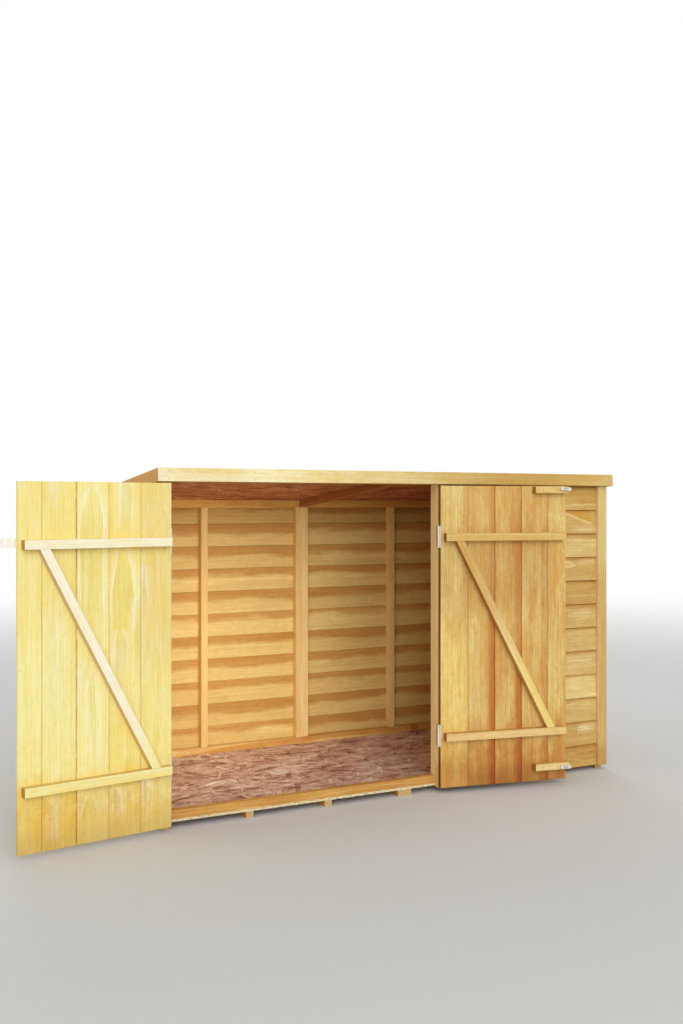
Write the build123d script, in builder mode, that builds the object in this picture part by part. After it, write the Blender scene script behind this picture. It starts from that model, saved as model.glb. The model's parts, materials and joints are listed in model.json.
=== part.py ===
from build123d import *
import math
import os

# A boarded timber bike shelter with a pent roof that falls to the back and two doors, both standing open.
# The origin is on the ground under the middle of the floor: +X runs along the front, +Y to the back, +Z up.

# Driving dimensions, in millimetres and degrees
floor_width = 2084.0
floor_depth = 985.0
timber = 32.0
bearer_height = 25.0
floor_board_thickness = 10.0
roof_height_front = 1312.0
roof_pitch = 5.8
roof_board_thickness = 10.0
felt_thickness = 2.0
roof_overhang = 35.0
verge_gap = 2.0
fascia_height = 50.0
fascia_thickness = 12.0
board_pitch = 105.3
board_bottom = 21.0
first_board_height = 96.0
back_first_board_height = 122.0
board_proud = 15.0
board_thin = 8.0
trim_thickness = 28.0
trim_width = 47.0
trim_overlap = 10.0
trim_bottom = 20.0
left_strip_width = 29.0
doorway_width = 1170.0
leaf_thickness = 12.0
leaf_bottom = 24.0
door_head_gap = 5.5
hinge_gap = 4.0
doors_gap = 14.0
left_open_angle = 171.3
right_open_angle = 169.0
leaf_board_width = 122.5
leaf_board_joint = 1.0
leaf_joint_depth = 3.0
ledge_inset = 13.0
ledge_from_end = 196.5
brace_hinge_inset = 75.0
brace_free_inset = 84.0
block_length = 156.0
block_height = 28.0
block_top_gap = 2.0
block_sill_gap = 5.0
catch_length = 52.0
catch_height = 20.0
catch_thickness = 11.0
catch_reach = 6.0
hinge_height = 90.0
hinge_plate_thickness = 1.5
hinge_plate_width = 14.0
knuckle_radius = 5.0
hinge_pin_radius = 2.0
running_clearance = 0.25
knuckle_gap = 0.5
knuckle_sink = 0.5
hinge_lift = 1.5
hasp_lift = 6.5
hasp_width = 32.0
hasp_plate_length = 50.0
hasp_plate_thickness = 3.0
hasp_hinge_inset = 15.0
hasp_reach = 58.5
hasp_thickness = 2.0
hasp_knuckle_radius = 3.5
hasp_pin_radius = 1.5
slot_reach = 36.0
slot_width = 7.0
slot_height = 26.0
staple_wire = 4.0
staple_height = 20.0
staple_stand = 26.0
staple_plate_width = 24.0
staple_plate_height = 44.0
staple_plate_thickness = 1.0
cut_margin = 1.0

# Places that follow from them
front = -floor_depth / 2
back = floor_depth / 2
side = floor_width / 2
floor_top = bearer_height + floor_board_thickness
slope = math.radians(roof_pitch)
trim_edge = side + trim_overlap
trim_inner = trim_edge - trim_width
inside_front = front + timber
inside_back = back - timber
inside_side = side - timber
sill_top = floor_top + timber
left_jamb = -trim_edge + left_strip_width
right_jamb = left_jamb + doorway_width
jamb_strip_end = right_jamb + timber
pin_y = front - trim_thickness - knuckle_radius
roof_start = -roof_overhang
roof_end = floor_depth / math.cos(slope) + roof_overhang
felt_top = roof_board_thickness + felt_thickness
fascia_bottom = felt_top - fascia_height
leaf_outer = knuckle_radius
leaf_inner = leaf_outer + leaf_thickness
leaf_width = (doorway_width - doors_gap) / 2 - hinge_gap
leaf_start = hinge_gap / 2
leaf_end = leaf_start + leaf_width
leaf_top = roof_height_front - roof_start * math.sin(slope) + fascia_bottom * math.cos(slope) - door_head_gap
lower_ledge = leaf_bottom + ledge_from_end
upper_ledge = leaf_top - ledge_from_end - timber
lower_hinge = lower_ledge + timber / 2 + hinge_lift
upper_hinge = upper_ledge + timber / 2 + hinge_lift
hasp_height = upper_ledge + timber / 2 + hasp_lift

os.makedirs("parts", exist_ok=True)


def roof_underside(y):
    """Height of the underside of the roof boards at the depth y."""
    return roof_height_front - (y - front) * math.tan(slope)


def block(x_range, y_range, z_range, mode=Mode.ADD):
    """Add a square-cut piece between its low and high corners to the part that is open."""
    centre = [(low + high) / 2 for low, high in (x_range, y_range, z_range)]
    size = [high - low for low, high in (x_range, y_range, z_range)]
    with Locations(tuple(centre)):
        Box(*size, mode=mode)


def sloped_block(x_range, y_range, z_bottom, top=roof_underside):
    """Add a piece whose top is cut to the slope of the roof, or to another line along the depth."""
    y_low, y_high = y_range
    with BuildSketch(Plane.YZ.offset(x_range[0])) as section:
        Polygon(
            (y_low, z_bottom),
            (y_high, z_bottom),
            (y_high, top(y_high)),
            (y_low, top(y_low)),
            align=None,
        )
    extrude(section.sketch, amount=x_range[1] - x_range[0])


def save(piece, name):
    """Label a finished piece and write its file."""
    piece.part.label = name
    export_step(piece.part, f"parts/{name}.step")


# Floor: two panels side by side, each an oriented strand board on four bearers
def bearer_places(panel_start):
    """Left faces of the four bearers of a floor panel, spread evenly from edge to edge."""
    step = (floor_width / 2 - timber) / 3
    return [panel_start + step * number for number in range(4)]


for name, panel_start in (("left", -side), ("right", 0.0)):
    with BuildPart() as bearers:
        for x in bearer_places(panel_start):
            block((x, x + timber), (front, back), (0, bearer_height))
    save(bearers, f"floor_bearers_{name}")

    with BuildPart() as floor_board:
        block((panel_start, panel_start + floor_width / 2), (front, back), (bearer_height, floor_top))
    save(floor_board, f"floor_board_{name}")

# Front frame: sill rail, top rail and four posts between them
top_rail_bottom = roof_underside(inside_front) - timber

with BuildPart() as front_sill_rail:
    block((-side, side), (front, inside_front), (floor_top, sill_top))
save(front_sill_rail, "front_sill_rail")

with BuildPart() as front_top_rail:
    sloped_block((-side, side), (front, inside_front), top_rail_bottom)
save(front_top_rail, "front_top_rail")

wall_stud = (right_jamb + side) / 2
front_post_places = (-side, right_jamb, wall_stud - timber / 2, side - timber)

with BuildPart() as front_posts:
    for x in front_post_places:
        block((x, x + timber), (front, inside_front), (sill_top, top_rail_bottom))
save(front_posts, "front_posts")


# Side frames: a bottom rail, a sloping top rail and three studs on each side
def rail_underside(y):
    """Height of the underside of a sloping rail or rafter at the depth y."""
    return roof_underside(y) - timber / math.cos(slope)


middle_stud = (inside_front + back) / 2 - timber / 2

for name, x in (("left", -side), ("right", inside_side)):
    rail_width = (x, x + timber)
    with BuildPart() as side_rails:
        block(rail_width, (inside_front, back), (floor_top, sill_top))
        with BuildSketch(Plane.YZ.offset(x)):
            Polygon(
                (inside_front, rail_underside(inside_front)),
                (back, rail_underside(back)),
                (back, roof_underside(back)),
                (inside_front, roof_underside(inside_front)),
                align=None,
            )
        extrude(amount=timber)
    save(side_rails, f"{name}_wall_rails")

    with BuildPart() as side_studs:
        for y in (inside_front, middle_stud, inside_back):
            sloped_block(rail_width, (y, y + timber), sill_top, rail_underside)
    save(side_studs, f"{name}_wall_studs")

# Back frame: two panels between the side frames, whose end studs meet in the middle
back_rail_bottom = roof_underside(back) - timber

for name, x_range in (("left", (-inside_side, 0.0)), ("right", (0.0, inside_side))):
    with BuildPart() as back_rails:
        block(x_range, (inside_back, back), (floor_top, sill_top))
        sloped_block(x_range, (inside_back, back), back_rail_bottom)
    save(back_rails, f"back_wall_rails_{name}")

    middle = sum(x_range) / 2 - timber / 2
    with BuildPart() as back_studs:
        for x in (x_range[0], middle, x_range[1] - timber):
            block((x, x + timber), (inside_back, back), (sill_top, back_rail_bottom))
    save(back_studs, f"back_wall_studs_{name}")

# Roof: one rafter, two boards that meet over it, felt, fascias front and back and bargeboards at the ends
with BuildPart() as rafter:
    with BuildSketch(Plane.YZ.offset(-timber / 2)):
        Polygon(
            (inside_front, rail_underside(inside_front)),
            (inside_back, rail_underside(inside_back)),
            (inside_back, roof_underside(inside_back)),
            (inside_front, roof_underside(inside_front)),
            align=None,
        )
    extrude(amount=timber)
save(rafter, "centre_rafter")

roof_plane = Plane(
    origin=(0, front, roof_height_front),
    x_dir=(1, 0, 0),
    z_dir=(0, math.sin(slope), math.cos(slope)),
)
board_half = side + board_proud + verge_gap
roof_half = board_half + fascia_thickness


def roof_piece(x_range, run_range, rise_range):
    """Add a piece that lies square to the roof, in the roof's own plane."""
    centre = [(low + high) / 2 for low, high in (x_range, run_range, rise_range)]
    size = [high - low for low, high in (x_range, run_range, rise_range)]
    with Locations(tuple(centre)):
        Box(*size)


for name, x_range in (("left", (-board_half, 0.0)), ("right", (0.0, board_half))):
    with BuildPart(roof_plane) as roof_board:
        roof_piece(x_range, (roof_start, roof_end), (0, roof_board_thickness))
    save(roof_board, f"roof_board_{name}")

with BuildPart(roof_plane) as roof_felt:
    roof_piece((-board_half, board_half), (roof_start, roof_end), (roof_board_thickness, felt_top))
save(roof_felt, "roof_felt")

for name, run in (("front", roof_start - fascia_thickness), ("back", roof_end)):
    with BuildPart(roof_plane) as fascia:
        roof_piece((-roof_half, roof_half), (run, run + fascia_thickness), (fascia_bottom, felt_top))
    save(fascia, f"{name}_fascia")

with BuildPart(roof_plane) as bargeboards:
    for x in (-roof_half, board_half):
        roof_piece((x, x + fascia_thickness), (roof_start, roof_end), (fascia_bottom, felt_top))
save(bargeboards, "bargeboards")


# Cladding: lapped boards, whose lower edges stand proud of the boards below
def lapped_profile(height, face, outward, first_height):
    """Corner points of a lapped wall's section, from its foot to the height, as (across, up) pairs."""
    points = [(face, board_bottom)]
    low, high = board_bottom, board_bottom + first_height
    while low < height:
        reach = min(high, height)
        taper = (reach - low) / (high - low)
        points.append((face + outward * board_proud, low))
        points.append((face + outward * (board_proud - taper * (board_proud - board_thin)), reach))
        low, high = high, high + board_pitch
    points.append((face, height))
    return points


def wall_profile(height, face, outward, first_height=first_board_height):
    """Add the section of a lapped wall to the sketch that is open."""
    Polygon(*lapped_profile(height, face, outward, first_height), align=None)


def cut_to_roof():
    """Cut what stands above the underside of the roof boards off the part that is open."""
    split(bisect_by=roof_plane, keep=Keep.BOTTOM)


wall_top = roof_underside(front - trim_thickness)

with BuildPart() as front_cladding:
    with BuildSketch(Plane.YZ.offset(jamb_strip_end)):
        wall_profile(wall_top, front, -1)
    extrude(amount=trim_inner - jamb_strip_end)
    cut_to_roof()
save(front_cladding, "front_cladding")

for name, face, outward in (("left", -side, -1), ("right", side, 1)):
    with BuildPart() as side_cladding:
        with BuildSketch(Plane.XZ.offset(-back)):
            wall_profile(wall_top, face, outward)
        extrude(amount=floor_depth)
        cut_to_roof()
    save(side_cladding, f"{name}_cladding")

with BuildPart() as back_cladding:
    for start in (-trim_inner, trim_width / 2):
        with BuildSketch(Plane.YZ.offset(start)):
            wall_profile(roof_underside(back), back, 1, back_first_board_height)
        extrude(amount=trim_inner - trim_width / 2)
    cut_to_roof()
save(back_cladding, "back_cladding")

# Trims: the two strips that carry the doors, the front corner strip and the three strips on the back
front_trims = {
    "left_door_strip": (-trim_edge, left_jamb),
    "right_door_strip": (right_jamb, jamb_strip_end),
    "front_corner_trim": (trim_inner, trim_edge),
}

for name, x_range in front_trims.items():
    with BuildPart() as trim:
        sloped_block(x_range, (front - trim_thickness, front), trim_bottom)
    save(trim, name)

with BuildPart() as back_trims:
    for x in (-trim_edge, -trim_width / 2, trim_inner):
        sloped_block((x, x + trim_width), (back, back + trim_thickness), trim_bottom)
save(back_trims, "back_trims")


# Doors: each is drawn in its own plane, which turns about the hinge pin
# Along a leaf x runs from the pin to the free edge, and inward is the sign of y on the side of the ledges.
def door_plane(pin_x, angle, inward):
    """Plane on the ground with its origin on the hinge pin and its x axis along the open leaf."""
    turn = math.radians(angle)
    return Plane(
        origin=(pin_x, pin_y, 0),
        x_dir=(inward * math.cos(turn), -math.sin(turn), 0),
        z_dir=(0, 0, 1),
    )


def across(inward, near, far):
    """Range of y for a piece between two distances inwards from the pin."""
    return tuple(sorted((inward * near, inward * far)))


left_pin = left_jamb + hinge_gap / 2
right_pin = right_jamb - hinge_gap / 2
doors = {
    "left": (left_pin, 1, door_plane(left_pin, left_open_angle, 1)),
    "right": (right_pin, -1, door_plane(right_pin, right_open_angle, -1)),
}
leaf_boards = math.ceil(leaf_width / leaf_board_width)
ledge_face = leaf_inner + timber
brace_free_end = leaf_width - brace_free_inset
brace_ends = {"left": (brace_hinge_inset, brace_free_end), "right": (brace_free_end, brace_hinge_inset)}

for name, (_, inward, plane) in doors.items():
    with BuildPart(plane) as leaf:
        block((leaf_start, leaf_end), across(inward, leaf_outer, leaf_inner), (leaf_bottom, leaf_top))
        for number in range(1, leaf_boards):
            joint = leaf_start + number * leaf_board_width
            groove = (joint - leaf_board_joint / 2, joint + leaf_board_joint / 2)
            for near, far in (
                (leaf_outer, leaf_outer + leaf_joint_depth),
                (leaf_inner - leaf_joint_depth, leaf_inner),
            ):
                block(groove, across(inward, near, far), (leaf_bottom, leaf_top), Mode.SUBTRACT)
    save(leaf, f"{name}_door_boards")

    with BuildPart(plane) as ledges:
        for z in (lower_ledge, upper_ledge):
            span = (leaf_start + ledge_inset, leaf_end - ledge_inset)
            block(span, across(inward, leaf_inner, ledge_face), (z, z + timber))
    save(ledges, f"{name}_door_ledges")

    foot, head = brace_ends[name]
    rise = upper_ledge - lower_ledge - timber
    lean = math.atan2(head - foot, rise)
    half = timber / math.cos(lean) / 2
    face_plane = Plane(
        origin=plane.from_local_coords((leaf_start, inward * leaf_inner, 0)),
        x_dir=plane.x_dir,
        z_dir=plane.y_dir * inward,
    )
    up = 1 if face_plane.y_dir.Z > 0 else -1
    with BuildPart(face_plane) as brace:
        with BuildSketch(face_plane):
            Polygon(
                (foot - half, up * (lower_ledge + timber)),
                (foot + half, up * (lower_ledge + timber)),
                (head + half, up * upper_ledge),
                (head - half, up * upper_ledge),
                align=None,
            )
        extrude(amount=timber)
    save(brace, f"{name}_door_brace")

# Stop blocks with their catches, at the top and the foot of the right door's free edge
right_plane = doors["right"][2]
upper_block_top = leaf_top - block_top_gap
lower_block_bottom = sill_top + block_sill_gap
block_places = (lower_block_bottom, upper_block_top - block_height)
catch_places = (lower_block_bottom, upper_block_top - catch_height)
catch_end = leaf_end + catch_reach

with BuildPart(right_plane) as stop_blocks:
    for z in block_places:
        block((leaf_end - block_length, leaf_end), across(-1, leaf_inner, ledge_face), (z, z + block_height))
save(stop_blocks, "right_door_stop_blocks")

with BuildPart(right_plane) as catches:
    for z in catch_places:
        block(
            (catch_end - catch_length, catch_end),
            across(-1, ledge_face, ledge_face + catch_thickness),
            (z, z + catch_height),
        )
save(catches, "right_door_catches")

# Butt hinges: the outer knuckles, the pin and one plate stay on the strip, the middle knuckle turns with the door
knuckle_length = hinge_height / 3
hinge_places = (lower_hinge, upper_hinge)
fixed_plate = (-hinge_gap / 2, -hinge_gap / 2 + hinge_plate_thickness)
moving_plate = (hinge_gap / 2 - hinge_plate_thickness, hinge_gap / 2)
knuckle_cut = (-knuckle_radius - cut_margin, knuckle_radius + cut_margin)


def cylinder_between(radius, z_low, z_high, mode=Mode.ADD):
    """Add an upright round piece on the origin of the plane that is open."""
    with Locations((0, 0, (z_low + z_high) / 2)):
        Cylinder(radius, z_high - z_low, mode=mode)


for name, (pin_x, inward, plane) in doors.items():
    frame_plane = Plane(origin=(pin_x, pin_y, 0), x_dir=(inward, 0, 0), z_dir=(0, 0, 1))
    with BuildPart(frame_plane) as fixed_hinges:
        for z in hinge_places:
            low, high = z - hinge_height / 2, z + hinge_height / 2
            block(fixed_plate, across(inward, 0, leaf_outer + hinge_plate_width), (low, high))
            cylinder_between(knuckle_radius, low, high)
            middle_low = z - knuckle_length / 2 - knuckle_gap
            middle_high = z + knuckle_length / 2 + knuckle_gap
            block(knuckle_cut, knuckle_cut, (middle_low, middle_high), Mode.SUBTRACT)
            cylinder_between(hinge_pin_radius, low, high)
    save(fixed_hinges, f"{name}_hinge_frame_leaves")

    with BuildPart(plane) as moving_hinges:
        for z in hinge_places:
            low, high = z - hinge_height / 2, z + hinge_height / 2
            block(moving_plate, across(inward, 0, leaf_inner), (low, high))
            cylinder_between(knuckle_radius, low, high)
            for end_low, end_high in (
                (low, z - knuckle_length / 2 + knuckle_gap),
                (z + knuckle_length / 2 - knuckle_gap, high),
            ):
                block(knuckle_cut, knuckle_cut, (end_low, end_high), Mode.SUBTRACT)
            cylinder_between(hinge_pin_radius + running_clearance, low, high, Mode.SUBTRACT)
    save(moving_hinges, f"{name}_hinge_door_leaves")

# Hasp on the left door's outer face: a plate with two knuckles and a pin, and a slotted strap that swings on it
left_plane = doors["left"][2]
hasp_pin_x = leaf_end - hasp_hinge_inset
hasp_pin_y = leaf_outer - hasp_plate_thickness - hasp_knuckle_radius + knuckle_sink
hasp_low = hasp_height - hasp_width / 2
hasp_high = hasp_height + hasp_width / 2
hasp_knuckle_length = hasp_width / 3
plate_recess = hasp_knuckle_length / 2 + knuckle_gap
strap_knuckle = (
    hasp_height - hasp_knuckle_length / 2 + knuckle_gap,
    hasp_height + hasp_knuckle_length / 2 - knuckle_gap,
)
strap_start = hasp_pin_x + hasp_knuckle_radius + knuckle_gap
strap_end = leaf_end + hasp_reach
strap_y = (hasp_pin_y - hasp_thickness / 2, hasp_pin_y + hasp_thickness / 2)
slot_x = leaf_end + slot_reach


def hasp_knuckle(radius, z_low, z_high, mode=Mode.ADD):
    """Add an upright round piece on the hasp's own pin."""
    with Locations((hasp_pin_x, hasp_pin_y, (z_low + z_high) / 2)):
        Cylinder(radius, z_high - z_low, mode=mode)


with BuildPart(left_plane) as hasp_plate:
    block(
        (hasp_pin_x - hasp_plate_length, hasp_pin_x),
        (leaf_outer - hasp_plate_thickness, leaf_outer),
        (hasp_low, hasp_high),
    )
    hasp_knuckle(hasp_knuckle_radius, hasp_low, hasp_high)
    reach = hasp_knuckle_radius + knuckle_gap
    block(
        (hasp_pin_x - reach, hasp_pin_x + reach),
        (hasp_pin_y - reach, hasp_pin_y + reach),
        (hasp_height - plate_recess, hasp_height + plate_recess),
        Mode.SUBTRACT,
    )
    hasp_knuckle(hasp_pin_radius, hasp_low, hasp_high)
save(hasp_plate, "hasp_plate")

with BuildPart(left_plane) as hasp_strap:
    block((strap_start, strap_end - hasp_width / 2), strap_y, (hasp_low, hasp_high))
    with Locations((strap_end - hasp_width / 2, hasp_pin_y, hasp_height)):
        Cylinder(hasp_width / 2, hasp_thickness, rotation=(90, 0, 0))
    block((hasp_pin_x, strap_start + cut_margin), strap_y, strap_knuckle)
    hasp_knuckle(hasp_knuckle_radius, *strap_knuckle)
    hasp_knuckle(hasp_pin_radius + running_clearance, *strap_knuckle, mode=Mode.SUBTRACT)
    block(
        (slot_x - slot_width / 2, slot_x + slot_width / 2),
        strap_y,
        (hasp_height - slot_height / 2, hasp_height + slot_height / 2),
        Mode.SUBTRACT,
    )
save(hasp_strap, "hasp_strap")

# Staple on the right door's outer face, where the strap's slot drops over it
staple_x = leaf_end - (slot_reach - doors_gap)
staple_root = -leaf_outer + staple_plate_thickness
staple_tip = -leaf_outer + staple_stand
staple_half = (staple_height - staple_wire) / 2
staple_foot = staple_root - knuckle_sink
bend = staple_tip - staple_wire / 2 - staple_half

with BuildPart(right_plane) as staple:
    block(
        (staple_x - staple_plate_width / 2, staple_x + staple_plate_width / 2),
        (-leaf_outer, staple_root),
        (hasp_height - staple_plate_height / 2, hasp_height + staple_plate_height / 2),
    )
    with BuildLine(right_plane) as staple_path:
        Polyline(
            (staple_x, staple_foot, hasp_height - staple_half),
            (staple_x, bend, hasp_height - staple_half),
        )
        ThreePointArc(
            (staple_x, bend, hasp_height - staple_half),
            (staple_x, bend + staple_half, hasp_height),
            (staple_x, bend, hasp_height + staple_half),
        )
        Polyline(
            (staple_x, bend, hasp_height + staple_half),
            (staple_x, staple_foot, hasp_height + staple_half),
        )
    with BuildSketch(staple_path.line ^ 0):
        Circle(staple_wire / 2)
    sweep(path=staple_path.line)
save(staple, "hasp_staple")
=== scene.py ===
# %% [markdown]
# A boarded bike shelter, dressed for looking at.
# The shelter is a softwood frame under lapped boards, with a strand board floor and roof, a lapped wall
# beside a wide doorway, and two ledged and braced doors that stand open.
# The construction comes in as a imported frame, and no size of it changes here. What this lesson adds is what
# a saw, a plane, a hammer and a dipping tank leave behind: eased edges, separate boards with their own
# growth rings, nails, screws, felt laps and stain.

# %% Load the frame
import json
import math
import random

import bmesh
import bpy
from mathutils import Matrix, Vector
from mathutils.bvhtree import BVHTree

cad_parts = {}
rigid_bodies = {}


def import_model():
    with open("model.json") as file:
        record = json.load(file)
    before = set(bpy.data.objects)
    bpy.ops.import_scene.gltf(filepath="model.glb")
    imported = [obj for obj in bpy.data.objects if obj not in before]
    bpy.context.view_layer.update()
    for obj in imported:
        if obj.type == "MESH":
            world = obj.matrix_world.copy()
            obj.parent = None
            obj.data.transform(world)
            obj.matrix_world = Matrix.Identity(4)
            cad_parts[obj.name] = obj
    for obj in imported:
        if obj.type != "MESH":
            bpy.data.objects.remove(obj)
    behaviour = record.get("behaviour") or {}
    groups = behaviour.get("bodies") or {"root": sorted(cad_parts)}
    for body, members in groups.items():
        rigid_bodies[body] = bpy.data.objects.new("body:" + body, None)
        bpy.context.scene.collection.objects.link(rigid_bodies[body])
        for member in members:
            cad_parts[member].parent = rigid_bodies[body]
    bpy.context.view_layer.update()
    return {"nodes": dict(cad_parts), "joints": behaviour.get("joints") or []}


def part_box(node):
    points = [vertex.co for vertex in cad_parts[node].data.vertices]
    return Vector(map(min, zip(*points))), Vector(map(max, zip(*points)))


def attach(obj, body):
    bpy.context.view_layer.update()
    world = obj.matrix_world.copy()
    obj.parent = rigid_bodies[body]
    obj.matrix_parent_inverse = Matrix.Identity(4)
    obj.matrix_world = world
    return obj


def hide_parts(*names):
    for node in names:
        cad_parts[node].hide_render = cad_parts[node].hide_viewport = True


for leftover in list(bpy.data.objects):
    bpy.data.objects.remove(leftover, do_unlink=True)


def link(thing):
    """Put an object into the scene."""
    bpy.context.scene.collection.objects.link(thing)
    return thing


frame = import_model()
nodes = frame["nodes"]

# %% [markdown]
# The camera stands a hand's breadth lower than the tops of the doors, nearly four metres in front of them and
# well to the left of the shelter, and level, so that posts stay upright.
# A level camera with a small vertical shift keeps the uprights parallel, as a view camera does, which no
# tilt can do. The lens is given for a frame that is 36 mm high, because the picture stands upright.

# %% Camera
CAMERA_PLACE = (-2.383, -4.3969, 1.1918)
CAMERA_YAW = 28.15
LENS = 39.13
LENS_SHIFT = -0.0067

lens = bpy.data.cameras.new("camera")
lens.sensor_fit = "VERTICAL"
lens.sensor_height = 36
lens.lens = LENS
lens.shift_y = LENS_SHIFT
camera = link(bpy.data.objects.new("camera", lens))
camera.location = CAMERA_PLACE
camera.rotation_euler = (math.pi / 2, 0, -math.radians(CAMERA_YAW))
bpy.context.scene.camera = camera
bpy.context.scene.view_settings.view_transform = "Standard"
print("the camera looks", CAMERA_YAW, "degrees to the right of straight on")

# %% [markdown]
# Every tree of nodes below, for surfaces and for shapes, is built from a few short calls. One names the tree
# that is being worked in. One adds a node, fills its sockets with numbers or links and hands out what it
# gives, and these values can be added, multiplied and compared with plain signs: each sign adds its node.
# Colours are written as the values from 0 to 255 that a paint picker shows, and turned into the linear light
# that Blender works with.

# %% Node helpers
at_work = []


def work_in(tree):
    """Let the calls below add their nodes to this tree."""
    at_work[:] = [tree]
    return tree


class Value:
    """What a node gives. Plain arithmetic on it adds the nodes that work it out."""

    def __init__(self, socket):
        self.socket = socket

    def __add__(self, other):
        return maths("ADD", self, other)

    def __sub__(self, other):
        return maths("SUBTRACT", self, other)

    def __rsub__(self, other):
        return maths("SUBTRACT", other, self)

    def __mul__(self, other):
        return maths("MULTIPLY", self, other)

    def __truediv__(self, other):
        return maths("DIVIDE", self, other)

    def __pow__(self, other):
        return maths("POWER", self, other)

    def __abs__(self):
        return maths("ABSOLUTE", self)

    def __lt__(self, other):
        return maths("LESS_THAN", self, other)

    def __gt__(self, other):
        return maths("GREATER_THAN", self, other)


class Outputs:
    """All that a node gives, by name or by number."""

    def __init__(self, node):
        self.node = node

    def __getitem__(self, name):
        return Value(self.node.outputs[name])


def shade(red, green, blue):
    """Linear colour for the 0 to 255 values of a paint picker."""
    shares = [value / 255 for value in (red, green, blue)]
    return (*(s / 12.92 if s <= 0.04045 else ((s + 0.055) / 1.055) ** 2.4 for s in shares), 1.0)


def fill(socket, value):
    """Give a socket a link, a plain value, or a paint picker's red, green and blue."""
    if isinstance(value, Value):
        at_work[0].links.new(value.socket, socket)
    elif socket.type == "RGBA" and len(value) == 3:
        socket.default_value = shade(*value)
    else:
        socket.default_value = value


def add(kind, inputs=None, **settings):
    """Add a node of a kind, with its options and its sockets filled, and hand out what it gives."""
    node = at_work[0].nodes.new(kind)
    for name, value in settings.items():
        setattr(node, name, value)
    for name, value in (inputs or {}).items():
        fill(node.inputs[name], value)
    return Outputs(node)


def maths(operation, *values):
    """Arithmetic on numbers."""
    return add("ShaderNodeMath", dict(enumerate(values)), operation=operation)["Value"]


def largest(first, second):
    """The larger of two numbers."""
    return maths("MAXIMUM", first, second)


def close_to(value, middle, reach):
    """1 where a value lies within reach of the middle."""
    return maths("COMPARE", value, middle, reach)


def vectors(operation, *values):
    """Arithmetic on vectors, whose result is a vector, or a number for LENGTH."""
    outputs = add("ShaderNodeVectorMath", dict(enumerate(values)), operation=operation)
    return outputs["Value" if operation == "LENGTH" else "Vector"]


def split(vector):
    """The X, Y and Z of a vector."""
    return add("ShaderNodeSeparateXYZ", {"Vector": vector})


def mixed(share, first, second, blend_type="MIX"):
    """First colour, turning into the second as the share goes from 0 to 1."""
    return add("ShaderNodeMix", {0: share, 6: first, 7: second}, data_type="RGBA", blend_type=blend_type)[2]


def rising(value, low, high):
    """0 below low and 1 above high, with a smooth slope between; it falls where low is above high."""
    inputs = {"Value": value, "From Min": low, "From Max": high}
    return add("ShaderNodeMapRange", inputs, interpolation_type="SMOOTHSTEP")["Result"]


def noise(vector, scales, detail=2.0, roughness=0.5, output="Fac"):
    """Noise with its own number of waves to the metre along each axis."""
    stretched = vectors("MULTIPLY", vector, scales)
    inputs = {"Vector": stretched, "Scale": 1.0, "Detail": detail, "Roughness": roughness}
    return add("ShaderNodeTexNoise", inputs)[output]


def object_place():
    """The place on the object, in metres."""
    return add("ShaderNodeTexCoord")["Object"]


def new_finish(name, roughness, specular=0.3, metallic=0.0):
    """An empty material with its shader, whose plain numbers sit on the shader's own sockets."""
    material = bpy.data.materials.new(name)
    material.use_nodes = True
    shader = work_in(material.node_tree).nodes["Principled BSDF"]
    for socket, value in (("Roughness", roughness), ("Specular IOR Level", specular), ("Metallic", metallic)):
        shader.inputs[socket].default_value = value
    return material, shader


def paint(shader, colour, height, distance):
    """Give a shader its colour, and bumps from a height of 0 to 1, where 1 stands out by a distance in metres."""
    fill(shader.inputs["Base Color"], colour)
    fill(shader.inputs["Normal"], add("ShaderNodeBump", {"Height": height, "Distance": distance})["Normal"])


# %% [markdown]
# The light is plain and soft, as from a wide white screen in front and a pale sky all round. The screen is a
# sun of a very wide angle, in front and a little to the left. A weaker one from behind shapes the sides and
# back when the shelter is walked round. The lapped back wall has to be seen through the doorway, where
# little of this comes in, so a soft lamp in the doorway faces inwards.
# The surroundings look white because the world is white to the camera and to mirrors only; a stronger lamp
# would bleach the wood instead. The floor is pale, keeps the shadow, and fades to white far away.

# %% Light and floor
WORLD_LIGHT = 0.60
SUNS = {
    "front_screen": {"from": (-0.22, -0.92, 0.34), "strength": 1.55, "size": 50.0, "colour": (1.0, 0.985, 0.96)},
    "back_screen": {"from": (0.35, 0.85, 0.55), "strength": 0.5, "size": 40.0, "colour": (1.0, 1.0, 1.0)},
}
DOORWAY_LAMP = {"place": (-0.62, -0.50, 0.62), "width": 0.75, "height": 0.90, "watts": 3.2}
FLOOR_REACH = 60.0

world = bpy.data.worlds.new("surroundings")
bpy.context.scene.world = world
world.use_nodes = True
work_in(world.node_tree).nodes.clear()


def seen_rays():
    """1 for rays that show the surroundings themselves: straight, mirrored and through glass."""
    rays = add("ShaderNodeLightPath")
    seen = largest(rays["Is Camera Ray"], rays["Is Glossy Ray"])
    return largest(seen, rays["Is Transmission Ray"])


ambient = add("ShaderNodeBackground", {"Color": (1.0, 0.995, 0.98, 1), "Strength": WORLD_LIGHT})
white = add("ShaderNodeBackground", {"Color": (1, 1, 1, 1), "Strength": 1.0})
either = add("ShaderNodeMixShader", {0: seen_rays(), 1: ambient[0], 2: white[0]})
add("ShaderNodeOutputWorld", {"Surface": either[0]})

for name, plan in SUNS.items():
    sun = bpy.data.lights.new(name, "SUN")
    sun.energy = plan["strength"]
    sun.color = plan["colour"]
    sun.angle = math.radians(plan["size"])
    lamp = link(bpy.data.objects.new(name, sun))
    lamp.rotation_euler = Vector(plan["from"]).to_track_quat("Z", "Y").to_euler()

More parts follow.
